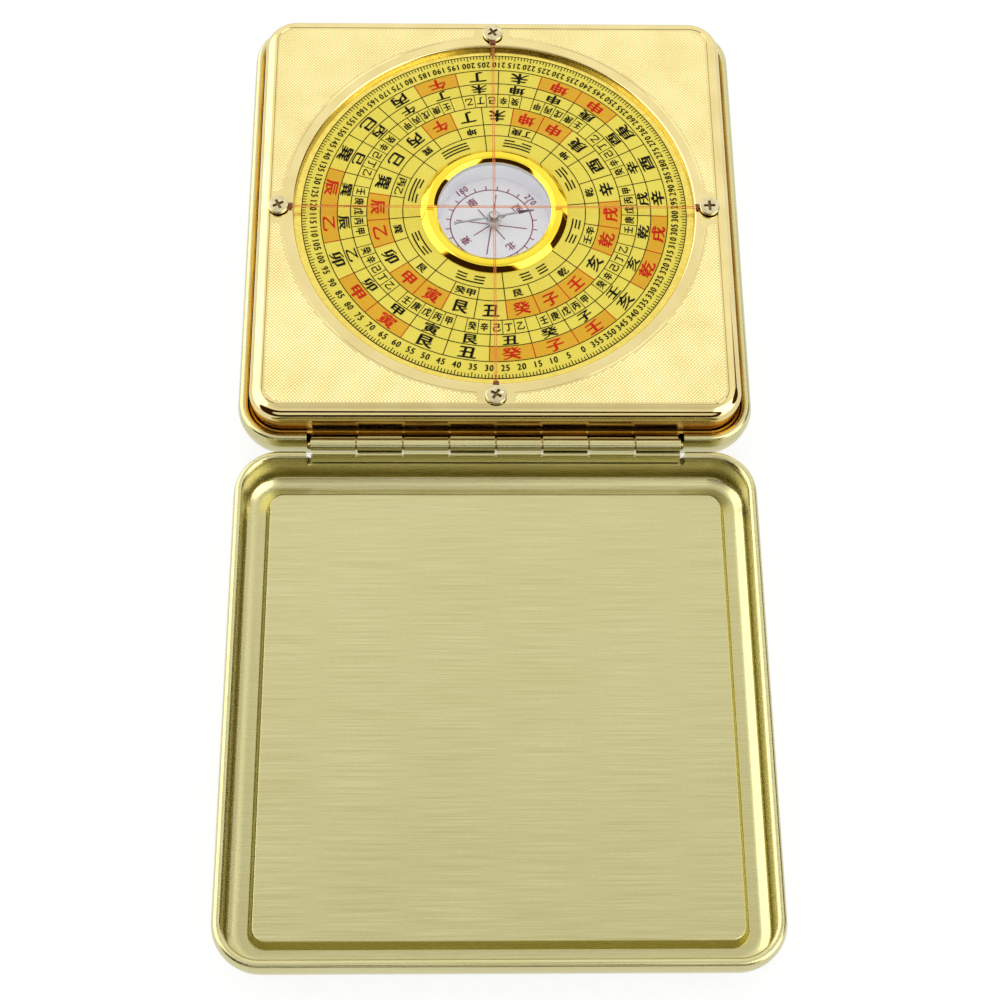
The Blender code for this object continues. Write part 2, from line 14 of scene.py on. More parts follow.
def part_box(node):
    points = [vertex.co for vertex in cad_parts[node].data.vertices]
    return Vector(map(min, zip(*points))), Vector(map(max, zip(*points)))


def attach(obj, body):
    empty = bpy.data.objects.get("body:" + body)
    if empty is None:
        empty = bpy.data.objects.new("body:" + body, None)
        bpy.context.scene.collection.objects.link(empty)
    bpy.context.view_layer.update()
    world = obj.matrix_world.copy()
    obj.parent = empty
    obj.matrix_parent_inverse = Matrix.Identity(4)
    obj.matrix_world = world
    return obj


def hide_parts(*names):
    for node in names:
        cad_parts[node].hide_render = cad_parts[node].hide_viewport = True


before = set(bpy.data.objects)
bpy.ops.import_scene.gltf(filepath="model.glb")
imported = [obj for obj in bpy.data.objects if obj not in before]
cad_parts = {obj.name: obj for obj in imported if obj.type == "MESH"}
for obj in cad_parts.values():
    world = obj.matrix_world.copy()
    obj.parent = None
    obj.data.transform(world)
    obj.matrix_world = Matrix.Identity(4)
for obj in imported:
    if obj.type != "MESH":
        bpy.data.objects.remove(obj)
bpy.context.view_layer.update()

MM = 0.001


def span(node):
    """Half the width of a node of the frame, and the heights of its underside and top."""
    low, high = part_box(node)
    return (high.x - low.x) / 2, low.z, high.z


# Camera, fitted to the reference view
camera_x = -6.82 * MM
camera_y = -158.31 * MM
camera_z = 313.08 * MM
camera_pitch = math.radians(63.942)
camera_yaw = math.radians(2.675)
camera_roll = math.radians(-2.438)
camera_lens = 74.2
camera_clip = 10 * MM
camera_shift = (0.0029, -0.0024)

# Places and sizes that the frame gives
case_half, _, shell_depth = span("base_shell")
case_y, lid_y = (sum(end.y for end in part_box(shell)) / 2 for shell in ("base_shell", "lid_shell"))
plate_half, skirt_under, plate_top = span("face_plate")
dial_radius, dial_under, dial_top = span("dial_disc")
_, cup_under, _ = span("capsule_cup")
ring_outer_radius, ring_under, ring_top = span("capsule_ring")
glass_radius, glass_under, glass_top = span("capsule_glass")
_, _, card_top = span("compass_card")
_, needle_under, needle_top = span("compass_needle")
hub_radius, hub_under, hub_top = span("needle_hub")
pin_half, pin_under, pin_top = span("hinge_pin")
hinge_z = (pin_top + pin_under) / 2
pin_radius = (pin_top - pin_under) / 2
leaf_low, leaf_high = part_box("base_hinge_leaf")
leaf_bottom = leaf_low.z - hinge_z
knuckle_radius = leaf_high.z - hinge_z
screw_head_radius, screw_under, screw_top = span("screw_east")
screw_circle = sum(end.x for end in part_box("screw_east")) / 2
_, _, felt_top = span("felt_ring")
_, thread_under, thread_over = span("crosshair_thread_east_west")
thread_z = (thread_over + thread_under) / 2

# Case shells
sheet = 0.8 * MM
case_corner = 7.6 * MM
wall_bulge = 0.4 * MM
rim_width = 1.5 * MM
rim_round = 0.7 * MM
inner_fillet = 2.7 * MM
slope_reach = 1.55 * MM
slope_rise = 0.88 * MM
slope_foot_round = 2.5 * MM
slope_top_round = 0.8 * MM
outer_fillet = 4.5 * MM
flange_width = 0.75 * MM
panel_corner = 2.9 * MM
panel_step = 2.4 * MM
panel_slope = 0.65 * MM
panel_edge_round = 0.35 * MM
panel_foot_round = 0.2 * MM
bulge_round = 3 * MM
bulge_share = 0.8
foot_steps = 20
slope_inset_share = 0.76

# Hinge
knuckle_count = 8
knuckle_gap = 0.3 * MM
hinge_end = 0.4 * MM
leaf_sheet = 0.45 * MM
tongue_drop = 0.2 * MM
notch_depth = 3.2 * MM
notch_margin = 0.6 * MM
notch_round = 0.7 * MM
knuckle_bevel = 0.05 * MM
bevel_angle = math.radians(50)
roll_sweep = math.radians(280)

# Face plate
plate_sheet = 0.8 * MM
plate_corner = 5.6 * MM
plate_round = 2.2 * MM
side_tilt = 0.2
ledge_reach = 0.26 * MM
ledge_drop = 0.5 * MM
plate_border = 6.3 * MM
opening_round = 0.4 * MM
collar_wall = 0.4 * MM
collar_gap = 0.05 * MM
border_half = 38.86 * MM
border_corner = 3.0 * MM
groove_width = 0.2 * MM
groove_depth = 0.09 * MM
# The studs are as coarse as they need to be to show
stud_pitch = 0.44 * MM
stud_height = 0.088 * MM
stud_share = 0.6
arc_radius = 36.75 * MM
arc_ridge_width = 0.16 * MM
arc_ridge_height = 0.05 * MM
pad_half = 3.05 * MM

# Screws
shank_radius = 0.8 * MM
hole_gap = 0.2 * MM
head_height = 0.5 * MM
head_round = 0.2 * MM
recess_length = 2.0 * MM
recess_width = 0.5 * MM
recess_depth = 0.3 * MM
recess_taper = 0.25
recess_reach_share = 0.7
recess_eye_share = 0.8

# Crosshair threads
thread_diameter = 0.14 * MM
thread_spacing = 0.3 * MM
thread_lift = 0.3 * MM
throat_length = 2.2 * MM
grip_angle = 120
strand_steps = 40
parting_steps = 8
knot_radius = 0.3 * MM
knot_length = 0.7 * MM
knot_thread = 0.16 * MM
knot_turns = 4
knot_steps = 14
knot_flatness = 1.5
knot_rise = 0.25 * MM
screw_turn = 0.6

# Capsule
sight_radius = 9.95 * MM
cup_inner_radius = 9.8 * MM
cup_radius = 11.65 * MM
cup_collar = 1.5 * MM
cup_floor = 0.8 * MM
card_thickness = 0.3 * MM
ring_lip = 0.5 * MM
ring_lip_wall = 0.55 * MM
fit_gap = 0.2 * MM
pivot_hole = 0.5 * MM
collar_lift = 0.1 * MM
collar_height = 0.8 * MM
wall_foot_round = 0.25 * MM
crown_outer = 11.77 * MM
crown_inner = 10.62 * MM
crown_rise = 0.03 * MM
crown_outer_round = 0.8 * MM
crown_inner_round = 0.5 * MM
ring_edge = 0.08 * MM
ring_sink = 0.14 * MM
glass_edge = 0.08 * MM

# Needle
needle_length = 14.2 * MM
needle_width = 0.28 * MM
needle_tip_length = 2.6 * MM
needle_tip_width = 0.62 * MM
needle_tail_width = 0.6 * MM
needle_heading = math.radians(11.6)
hub_neck_radius = 0.75 * MM
hub_bore_radius = 0.75 * MM
hub_round = 0.12 * MM
hub_foot_radius = 0.95 * MM
hub_flange = 0.92 * MM
hub_roof = 0.5 * MM
jewel_radius = 0.6 * MM

# Print: bands are (outer, inner) shares of the tick circle, sizes are (width, height) of a character
tick_radius = 33.47 * MM
reading_at_x = 298
cell_angle = 15
half_cell = cell_angle / 2
stem_angle = 5
trigram_angle = 45
ink_step = 0.02 * MM
line_width = 0.15 * MM
stem_line_share = 0.8
tick_width = 0.15 * MM
tick_length = 0.72 * MM
long_tick_length = 1.0 * MM
number_radius = 31.45 * MM
number_width = 0.82 * MM
number_height = 1.15 * MM
trigram_radius = 15.05 * MM
trigram_spacing = 0.62 * MM
trigram_half = 2.5 * MM
trigram_gap = 1.3 * MM
trigram_line = 0.25 * MM
digit_height = 0.69
digit_advance = 0.6
bold_shift = 0.034
cjk_middle = (0.5, 0.38)
cjk_height = 0.94
NUMBER_BAND = (1.0, 0.903)
OUTER_BAND = (0.903, 0.815)
SECOND_BAND = (0.815, 0.746)
STEM_BAND = (0.746, 0.662)
INNER_BAND = (0.662, 0.547)
SMALL_BAND = (0.547, 0.475)
TRIGRAM_BAND = (0.475, 0.376)
OUTER_SIZE = (3.3 * MM, 2.35 * MM)
SECOND_SIZE = (2.9 * MM, 1.95 * MM)
STEM_SIZE = (1.45 * MM, 1.65 * MM)
INNER_SIZE = (3.0 * MM, 2.55 * MM)
SMALL_SIZE = (1.9 * MM, 1.5 * MM)
MOUNTAINS = "子癸丑艮寅甲卯乙辰巽巳丙午丁未坤申庚酉辛戌乾亥壬"
RED_MOUNTAINS = "子癸寅甲乙辰午坤申戌乾壬"
EVEN_STEMS = "甲丙戊庚壬"
ODD_STEMS = "乙丁己辛癸"
SMALL_MARKS = {
    "艮": "癸甲",
    "癸": "艮",
    "壬": "乾",
    "乾": "壬辛",
    "辛": "乾",
    "庚": "坤",
    "坤": "丁庚",
    "丁": "坤",
    "丙": "巽",
    "巽": "丙乙",
    "乙": "巽",
    "甲": "艮",
}
SPOKE_LABELS = ("Count", "First Angle", "Inner Radius", "Outer Radius", "Line Width", "Height")
TRIGRAMS = ("---", "=--", "=-=", "==-", "===", "-==", "-=-", "--=")

# Card print
card_reading_at_x = 307
rose_radius = 7.25 * MM
print_shift = -0.4 * MM
rose_tick = 0.85 * MM
rose_line = 0.2 * MM
rose_short_ray = 3.9 * MM
rose_long_ray = 6.3 * MM
rose_number_radius = 8.7 * MM
rose_name_radius = 5.65 * MM
ROSE_SIZE = (1.7 * MM, 1.7 * MM)

# Stage: a tent zone is (azimuths, elevations, light level) in degrees, with rounded ends, and azimuths run
# from the camera's side, negative to the left. In order: the right strip, the left strip, the dark
# opening between them, the light sheet inside it, and the dark foot of the right strip.
floor_half = 1.2
floor_lift = 0.8
tent_light = 1.25
tent_shoulder = 0.75
tent_fall = 6
shade_tint = "D9985E"
zone_softness = 0.15
zone_power = 2.2
matt_share = 0.8
TENT_ZONES = (
    ((20, 96), (-4, 70), 3.0),
    ((-150, -60), (-10, 68), 2.5),
    ((-74, 42), (-8, 56), 0.05),
    ((-32, 28), (20, 40), 1.0),
    ((80, 122), (0, 36), 0.07),
)
overhead_place = (0, 0.35, 0.9)
overhead_size = 0.6
overhead_power = 0.7

# Facets round a circle
wide_circle = 192
middle_circle = 128
small_circle = 64
drill_circle = 32

DIRECTIONS = {"north": (0, 1), "east": (1, 0), "south": (0, -1), "west": (-1, 0)}
MATH = "ShaderNodeMath"
VECTOR_MATH = "ShaderNodeVectorMath"


def linear(hex_colour):
    """An sRGB hex colour as linear RGBA."""
    channels = [int(hex_colour[i : i + 2], 16) / 255 for i in (0, 2, 4)]
    return [c / 12.92 if c <= 0.04045 else ((c + 0.055) / 1.055) ** 2.4 for c in channels] + [1.0]


def feed(node, inputs):
    """Set inputs by name or number, each to a value or linked from a socket or a node's first output."""
    for key, value in inputs.items():
        if isinstance(value, bpy.types.Node):
            value = value.outputs[0]
        if isinstance(value, bpy.types.NodeSocket):
            node.id_data.links.new(value, node.inputs[key])
        else:
            node.inputs[key].default_value = value
    return node


def add_node(tree, kind, inputs=None, **settings):
    """Add a node with its settings, its input values and its links."""
    node = tree.nodes.new(kind)
    for name, value in settings.items():
        setattr(node, name, value)
    return feed(node, inputs or {})


def new_material(name):
    """A new material, its node tree, its Principled shader and the piece's own coordinates."""
    material = bpy.data.materials.new(name)
    material.use_nodes = True
    tree = material.node_tree
    coords = add_node(tree, "ShaderNodeTexCoord").outputs["Object"]
    return material, tree, tree.nodes["Principled BSDF"], coords


def noise(tree, coords, size, stretch=(1, 1, 1), detail=3.0, seed=0.0):
    """Noise whose grain is size across, on coordinates drawn out by stretch."""
    scale = [1 / (size * s) for s in stretch]
    mapped = add_node(tree, "ShaderNodeMapping", {"Vector": coords, "Scale": scale, "Location": (seed,) * 3})
    return add_node(tree, "ShaderNodeTexNoise", {"Vector": mapped, "Scale": 1.0, "Detail": detail}).outputs["Fac"]


def spread(tree, value, low=0.0, high=1.0, from_low=0.3, from_high=0.7):
    """Map a noise value to a range."""
    inputs = {"Value": value, "From Min": from_low, "From Max": from_high, "To Min": low, "To Max": high}
    return add_node(tree, "ShaderNodeMapRange", inputs)


def blend_colours(tree, factor, first, second):
    """Two colours mixed by a factor; each is an sRGB hex or a colour output."""
    ends = {6: first, 7: second}
    inputs = {k: linear(v) if isinstance(v, str) else v for k, v in ends.items()}
    inputs[0] = factor
    return add_node(tree, "ShaderNodeMix", inputs, data_type="RGBA").outputs[2]


def relief(tree, height, depth, strength):
    """The bent surface direction of a relief whose height runs from 0 to 1, depth metres deep."""
    return add_node(tree, "ShaderNodeBump", {"Height": height, "Distance": depth, "Strength": strength})


def brushed_brass():
    """Brass-plated steel sheet, belt-brushed along the hinge before it was drawn into a tray.

    The eye sees fine streaks along X on the flat faces, and upright ones on the two side walls. Belt marks are
    finer than line: it is as coarse as it needs to be to show.
    """
    material, tree, shader, coords = new_material("brushed_brass_plating")
    line = 0.16 * MM
    along = noise(tree, coords, line, (90, 1, 1), 4.0)
    upright = noise(tree, coords, line, (1, 1, 60), 4.0, 5.0)
    normal = add_node(tree, "ShaderNodeTexCoord").outputs["Normal"]
    parts = add_node(tree, "ShaderNodeSeparateXYZ", {0: normal})
    sideways = add_node(tree, MATH, {0: parts}, operation="ABSOLUTE")
    on_wall = spread(tree, sideways, from_low=0.35, from_high=0.75)
    brushing = add_node(tree, "ShaderNodeMix", {0: on_wall, 2: along, 3: upright})
    cloud = noise(tree, coords, 18 * MM, (2, 1, 1), 2.0, 2.0)
    streaks = blend_colours(tree, spread(tree, brushing), "BFB883", "CFC998")
    looks = {
        "Base Color": blend_colours(tree, spread(tree, cloud, 0.0, 0.15), streaks, "B3A766"),
        "Metallic": 1.0,
        "Roughness": spread(tree, brushing, 0.2, 0.32),
        "Normal": relief(tree, brushing, 0.01 * MM, 0.28),
    }
    feed(shader, looks)
    return material


def polished_gold(name, colour, shade, roughness):
    """Gold electroplate on a polished stamping: a near mirror, with a faint orange-peel waviness."""
    material, tree, shader, coords = new_material(name)
    peel = noise(tree, coords, 2.5 * MM, detail=2.0)
    haze = noise(tree, coords, 6 * MM, detail=4.0, seed=3.0)
    looks = {
        "Base Color": blend_colours(tree, spread(tree, haze), colour, shade),
        "Metallic": 1.0,
        "Roughness": spread(tree, haze, roughness * 0.7, roughness * 1.4),
        "Normal": relief(tree, peel, 0.004 * MM, 0.3),
    }
    feed(shader, looks)
    return material


def turned_metal(name, colour, shade, roughness):
    """Lathe-turned or ground metal: fine marks round its sides, drawn coarse enough to show, and a soft sheen."""
    material, tree, shader, coords = new_material(name)
    grain = noise(tree, coords, 0.12 * MM, (6, 6, 1))
    looks = {
        "Base Color": blend_colours(tree, spread(tree, grain), colour, shade),
        "Metallic": 1.0,
        "Roughness": spread(tree, grain, roughness * 0.8, roughness * 1.3),
        "Normal": relief(tree, grain, 0.006 * MM, 0.4),
    }
    feed(shader, looks)
    return material


def enamel(name, colour, shade, roughness, grain=0.35 * MM, shine=0.2):
    """Screen-printed enamel or lacquer: slightly uneven in tone, with a low satin shine."""
    material, tree, shader, coords = new_material(name)
    fine = noise(tree, coords, grain)
    broad = noise(tree, coords, 9 * MM, detail=2.0, seed=4.0)
    mottle = add_node(tree, MATH, {0: fine, 1: broad}, operation="MULTIPLY")
    looks = {
        "Base Color": blend_colours(tree, spread(tree, mottle, 0.0, 1.0, 0.12, 0.42), colour, shade),
        "Roughness": spread(tree, fine, roughness * 0.85, roughness * 1.2),
        "Specular IOR Level": shine,
        "Normal": relief(tree, fine, 0.004 * MM, 0.35),
    }
    feed(shader, looks)
    return material


def half_clear(material, clearness, shader, tint):
    """Give a material a clear, tinted share that light passes straight through."""
    tree = material.node_tree
    clear = add_node(tree, "ShaderNodeBsdfTransparent", {0: linear(tint)})
    mixed = add_node(tree, "ShaderNodeMixShader", {0: clearness, 1: shader, 2: clear})
    feed(tree.nodes["Material Output"], {"Surface": mixed})
    return material


def nylon(name, colour, shade, clearness):
    """Translucent dyed nylon monofilament: light passes a little, and the dye varies along it."""
    material, tree, shader, coords = new_material(name)
    dye = noise(tree, coords, 1.2 * MM, detail=2.0)
    looks = {
        "Base Color": blend_colours(tree, spread(tree, dye), colour, shade),
        "Roughness": spread(tree, dye, 0.25, 0.4),
        "Subsurface Weight": 0.3,
        "Subsurface Radius": (0.6, 0.3, 0.2),
        "Subsurface Scale": thread_diameter,
    }
    feed(shader, looks)
    return half_clear(material, clearness, shader, "FADCBC")


def clear_glass():
    """Flat float glass: almost unseen, with a faint reflection. Lamps reach what lies under it."""
    material, tree, shader, coords = new_material("capsule_float_glass")
    smear = noise(tree, coords, 3 * MM, detail=2.0)
    looks = {
        "Base Color": linear("F6FAFA"),
        "Transmission Weight": 1.0,
        "IOR": 1.2,
        "Roughness": spread(tree, smear, 0.0, 0.02),
    }
    feed(shader, looks)
    path = add_node(tree, "ShaderNodeLightPath").outputs
    rays = {0: path["Is Shadow Ray"], 1: path["Is Diffuse Ray"]}
    return half_clear(material, add_node(tree, MATH, rays, operation="MAXIMUM"), shader, "FBFDFD")


def soft_filler(name, colour, shade, grain):
    """Felt or foam: dull, with a grain of fibres or cells."""
    material, tree, shader, coords = new_material(name)
    fibres = noise(tree, coords, grain, detail=5.0)
    looks = {
        "Base Color": blend_colours(tree, spread(tree, fibres), colour, shade),
        "Roughness": spread(tree, fibres, 0.85, 1.0),
        "Normal": relief(tree, fibres, 0.1 * MM, 0.8),
    }
    feed(shader, looks)
    return material


def make_materials():
    """Every finish on the compass. A screw's recess takes a dark brown nickel, which is painted shade."""
    return {
        "brass": brushed_brass(),
        "gold": polished_gold("polished_gold_plating", "E1D094", "D7C586", 0.07),
        "knurl": polished_gold("knurled_gold_plating", "E2D192", "D8C584", 0.16),
        # Painted shade and painted reflection: the plate's sides, down in the gap beside the shell, take a deeper,
        # darker gold.
        "skirt": polished_gold("painted_shade_gold_side", "D8AC54", "BC8A38", 0.14),
        "ring": polished_gold("capsule_ring_gold", "F4DA46", "EECF3A", 0.04),
        "nickel": turned_metal("nickel_plated_steel", "DBD0A6", "C0B286", 0.2),
        "needle": turned_metal("ground_needle_steel", "B8B4B6", "9C9698", 0.35),
        "hub": turned_metal("nickel_plated_hub", "E4E0D8", "CAC4BA", 0.34),
        # Painted shade: the cross recess of each screw is coloured dark brown where shade falls in it.
        "recess": turned_metal("painted_shade_recess_nickel", "7C6848", "5A482C", 0.45),
        "turned": turned_metal("turned_brass", "C9AE62", "B09449", 0.3),
        "ground": enamel("dial_yellow_enamel", "EADB5A", "E2CF4A", 0.34),
        "orange": enamel("dial_orange_enamel", "E1AC26", "D5A020", 0.34),
        "black_ink": enamel("dial_black_ink", "120E0A", "1E1912", 0.45, shine=0.05),
        "red_ink": enamel("dial_red_ink", "CF2A12", "BA1E0A", 0.45, shine=0.1),
        "dial_gold": turned_metal("dial_satin_gold", "EBD56C", "DCC458", 0.2),
        "lacquer": enamel("cup_white_lacquer", "FAF9FC", "F4F2FA", 0.35),
        "card": enamel("compass_card_paper", "FCF6F8", "F6F0F4", 0.6, 0.2 * MM),
        "card_ink": enamel("card_mauve_ink", "9C4A62", "8C3A54", 0.5, shine=0.1),
        "tip": enamel("needle_tip_paint", "4A2438", "381A2C", 0.4),
        "thread": nylon("orange_nylon_thread", "F4A660", "EC9450", 0.55),
        # Painted shade: the bindings are dark brown and barely clear, for the shade between the strands that part
        # beside each screw.
        "knot": nylon("painted_shade_nylon_binding", "9A5426", "6E3414", 0.1),
        "glass": clear_glass(),
        "felt": soft_filler("wool_felt", "3A4A3C", "2C3A2E", 0.15 * MM),
        "foam": soft_filler("closed_cell_foam", "4A4A4A", "3A3A3A", 0.25 * MM),
        "agate": enamel("polished_agate", "8A3A34", "6E2A26", 0.15, shine=0.5),
    }


def arc(center_a, center_b, radius, start, end, steps):
    """Points of an arc in a plane, by angle in degrees, both ends included."""
    angles = [math.radians(start + (end - start) * i / steps) for i in range(steps + 1)]
    return [(center_a + radius * math.cos(a), center_b + radius * math.sin(a)) for a in angles]


def rounded_path(corners, steps=6):
    """A path through (a, b, radius) corners, each rounded by its radius."""
    points = [Vector(corner[:2]) for corner in corners]
    path = []
    for i, (a, b, radius) in enumerate(corners):
        here = points[i]
        if not radius:
            path.append((a, b))
            continue
        back = (points[i - 1] - here).normalized()
        ahead = (points[i + 1] - here).normalized()
        half_angle = back.angle(ahead) / 2
        reach = radius / math.tan(half_angle)
        center = here + (back + ahead).normalized() * (radius / math.sin(half_angle))
        first = here + back * reach - center
        last = here + ahead * reach - center
        path += [tuple(center + first.slerp(last, k / steps) * radius) for k in range(steps + 1)]
    return path


def vertex_row(bm, points, z):
    """Vertices at (x, y) points, all at one height."""
    return [bm.verts.new((x, y, z)) for x, y in points]


def square_ring(bm, half, radius, z, steps=16):
    """A square ring of vertices with rounded corners round the Z axis."""
    inner = half - radius
    ring = []
    for corner, (sx, sy) in enumerate([(1, 1), (-1, 1), (-1, -1), (1, -1)]):
        ring += vertex_row(bm, arc(sx * inner, sy * inner, radius, 90 * corner, 90 * corner + 90, steps), z)
    return ring


def round_ring(bm, radius, z, steps):
    """A circle of vertices round the Z axis, or one vertex on it."""
    turns = [math.tau * i / steps for i in range(steps)] if radius else [0]
    return vertex_row(bm, [(radius * math.cos(t), radius * math.sin(t)) for t in turns], z)


def loft(bm, rings, closed=False, capped=False):
    """Faces between neighbouring rings; a ring of one vertex makes a fan, and caps close the two ends."""
    following = rings[1:] + rings[:1] if closed else rings[1:]
    for low, high in zip(rings, following):
        count = max(len(low), len(high))
        for i in range(count):
            j = i + 1
            corners = [low[i % len(low)], low[j % len(low)], high[j % len(high)], high[i % len(high)]]
            corners = list(dict.fromkeys(corners))
            if len(corners) > 2:
                bm.faces.new(corners)
    if capped:
        bm.faces.new(rings[0])
        bm.faces.new(rings[-1])


def linked(name, data):
    """A new object in the scene."""
    obj = bpy.data.objects.new(name, data)
    bpy.context.scene.collection.objects.link(obj)
    return obj


def from_bmesh(name, bm, material, matrix):
    """Turn a bmesh into an object that has its place in its mesh."""
    mesh = bpy.data.meshes.new(name)
    bm.to_mesh(mesh)
    bm.free()
    mesh.transform(matrix)
    mesh.materials.append(material)
    return linked(name, mesh)


def mesh_object(name, bm, material, matrix=Matrix()):
    """A solid piece: its faces look outward."""
    bmesh.ops.recalc_face_normals(bm, faces=bm.faces)
    return from_bmesh(name, bm, material, matrix)


def meshed(obj):
    """The plain mesh object that an object's curve, text or modifiers give, in its place."""
    bpy.context.view_layer.update()
    graph = bpy.context.evaluated_depsgraph_get()
    mesh = bpy.data.meshes.new_from_object(obj.evaluated_get(graph))
    name = obj.name
    bpy.data.objects.remove(obj)
    return linked(name, mesh)


def carved(obj, cutters):
    """The object with closed shapes cut out of it."""
    for cutter in cutters:
        modifier = obj.modifiers.new("cut", "BOOLEAN")
        modifier.object = cutter
    result = meshed(obj)
    for cutter in cutters:
        bpy.data.objects.remove(cutter)
    return result


def finish(obj, body, node, angle=32):
    """Shade a finished piece, hang it on its body and hide the frame's node that it stands in for."""
    obj.data.shade_smooth()
    obj.data.set_sharp_from_angle(angle=math.radians(angle))
    modifier = obj.modifiers.new("even_shading", "WEIGHTED_NORMAL")
    modifier.keep_sharp = True
    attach(obj, body)
    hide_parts(node)


def at(y=0.0, z=0.0, turn=0.0, x=0.0):
    """A place matrix: a turn about Z, then a move."""
    return Matrix.Translation((x, y, z)) @ Matrix.Rotation(turn, 4, "Z")


def turned(name, profile, material, matrix, steps=160, closed=False):
    """A turned solid from (radius, height) points; an open profile starts and ends on the axis."""
    bm = bmesh.new()
    rings = [round_ring(bm, radius, z, steps) for radius, z in profile]
    loft(bm, rings, closed)
    return mesh_object(name, bm, material, matrix)


def drill(radius, low, high, matrix, steps=48):
    """A round cutter."""
    profile = [(0, low), (radius, low), (radius, high), (0, high)]
    return turned("drill", profile, None, matrix, steps)


def shell_section():
    """The stamped section as (half width, height) points, from inside the panel to under it."""
    rim_outer = case_half - wall_bulge
    rim_inner = rim_outer - rim_width
    belly_inner = case_half - rim_width
    belly_z = shell_depth * bulge_share
    panel_half = belly_inner - inner_fillet - flange_width
    panel_top = sheet + panel_step
    under_half = panel_half - sheet * slope_inset_share
    inside = [
        (panel_half - 2 * panel_slope, panel_top, 0),
        (panel_half - panel_slope, panel_top, panel_edge_round),
        (panel_half, sheet, panel_foot_round),
        (belly_inner - slope_reach, sheet, slope_foot_round),
        (belly_inner, sheet + slope_rise, slope_top_round),
        (belly_inner, belly_z, bulge_round),
        (rim_inner, shell_depth, rim_round),
        (rim_outer, shell_depth, rim_round),
        (case_half, belly_z, 0),
    ]
    turns = [math.pi / 2 * i / foot_steps for i in range(1, foot_steps)]
    foot_start = case_half - outer_fillet
    foot = [(foot_start + outer_fillet * math.cos(t), belly_z * (1 - math.sin(t))) for t in turns]
    below = [
        (foot_start, 0, 0),
        (under_half, 0, panel_foot_round),
        (under_half - panel_slope, panel_step, panel_edge_round),
        (under_half - 2 * panel_slope, panel_step, 0),
    ]
    return panel_half, rounded_path(inside) + foot + rounded_path(below)


def notch_cutter(matrix):
    """The cutter for the hinge notch, rounded at its two lower corners."""
    half = pin_half - hinge_end + notch_margin
    floor = shell_depth - notch_depth
    roof = shell_depth + notch_depth
    outline = rounded_path([(-half, roof, 0), (-half, floor, notch_round), (half, floor, notch_round), (half, roof, 0)])
    outside = -case_half - sheet
    inside = -case_half + wall_bulge + rim_width + fit_gap
    bm = bmesh.new()
    rings = [[bm.verts.new((x, y, z)) for x, z in outline] for y in (outside, inside)]
    loft(bm, rings, capped=True)
    return mesh_object("notch", bm, None, matrix)


def make_shell(name, node, body, center_y, turn, materials):
    """One stamped tray, notched in the wall that faces the hinge."""
    panel_half, section = shell_section()
    bm = bmesh.new()
    rings = []
    for half, z in section:
        on_panel = half <= panel_half
        radius = panel_corner - (panel_half - half) if on_panel else case_corner - (case_half - half)
        rings.append(square_ring(bm, half, radius, z))
    loft(bm, rings, capped=True)
    place = at(center_y, turn=turn)
    shell = mesh_object(name, bm, materials["brass"], place)
    shell = carved(shell, [notch_cutter(place)])
    finish(shell, body, node)


def hook_outline(steps=28):
    """The web and rolled knuckle above a leaf's strip, as (y, z) points round the hinge axis."""
    inside = knuckle_radius - leaf_sheet
    turns = [-math.pi / 2 - roll_sweep * i / steps for i in range(steps + 1)]
    outer = [(knuckle_radius * math.cos(a), knuckle_radius * math.sin(a)) for a in turns]
    inner = [(inside * math.cos(a), inside * math.sin(a)) for a in reversed(turns)]
    return outer + inner


def add_back(bm, left, right, near, far):
    """The upright tongue of a leaf behind the other leaf's knuckle."""
    low = -knuckle_radius - leaf_sheet / 2
    size = Matrix.Diagonal((right - left, far - near, -tongue_drop - low, 1))
    middle = Matrix.Translation(((left + right) / 2, (near + far) / 2, (low - tongue_drop) / 2))
    bmesh.ops.create_cube(bm, size=1, matrix=middle @ size)


def make_leaf(name, node, body, turn, materials):
    """A hinge leaf: a strip in the notch with every second knuckle rolled from it."""
    far = leaf_high.y
    near = far - leaf_sheet
    half = pin_half - hinge_end
    pitch = 2 * half / knuckle_count
    web_top = -(knuckle_radius - leaf_sheet)
    bm = bmesh.new()
    places = []
    for index in range(0, knuckle_count, 2):
        left = -half + index * pitch
        places += [left + knuckle_gap / 2, left + pitch - knuckle_gap / 2]
    places.append(half - knuckle_gap / 2)
    sections = []
    for x in places:
        corners = [(near, leaf_bottom), (far, leaf_bottom), (far, -knuckle_radius), (near, -knuckle_radius)]
        sections.append([bm.verts.new((x, y, z)) for y, z in corners])
    for i, (a, b) in enumerate(zip(sections, sections[1:])):
        for j, k in ((0, 1), (1, 2), (3, 0)):
            bm.faces.new((a[j], a[k], b[k], b[j]))
        if i % 2:
            bm.faces.new((a[2], a[3], b[3], b[2]))
            add_back(bm, a[3].co.x + knuckle_gap, b[3].co.x - knuckle_gap, near, far)
            continue
        rows = []
        for corner in (a, b):
            hook = [bm.verts.new((corner[0].co.x, y, z)) for y, z in hook_outline() + [(far, web_top)]]
            rows.append([corner[3]] + hook + [corner[2]])
        for (p, q), (r, s) in zip(zip(rows[0], rows[0][1:]), zip(rows[1], rows[1][1:])):
            bm.faces.new((p, q, s, r))
        bm.faces.new(rows[0])
        bm.faces.new(rows[1])
    bm.faces.new(sections[0])
    bm.faces.new(sections[-1])
    leaf = mesh_object(name, bm, materials["brass"], at(0, hinge_z, turn))
    bevel = leaf.modifiers.new("worn_edges", "BEVEL")
    bevel.width = knuckle_bevel
    bevel.segments = 2
    bevel.limit_method = "ANGLE"
    bevel.angle_limit = bevel_angle
    finish(meshed(leaf), body, node)


def make_hinge_pin(materials):
    """The pin, with domed ends that show in the notches."""
    half_profile = arc(0, pin_half - pin_radius, pin_radius, 0, 90, 6)[:-1] + [(0, pin_half)]
    profile = [(r, -z) for r, z in reversed(half_profile)] + half_profile
    place = at(0, hinge_z) @ Matrix.Rotation(math.pi / 2, 4, "Y")
    pin = turned("hinge_pin_rod", profile, materials["turned"], place, drill_circle)
    finish(pin, "base", "hinge_pin")


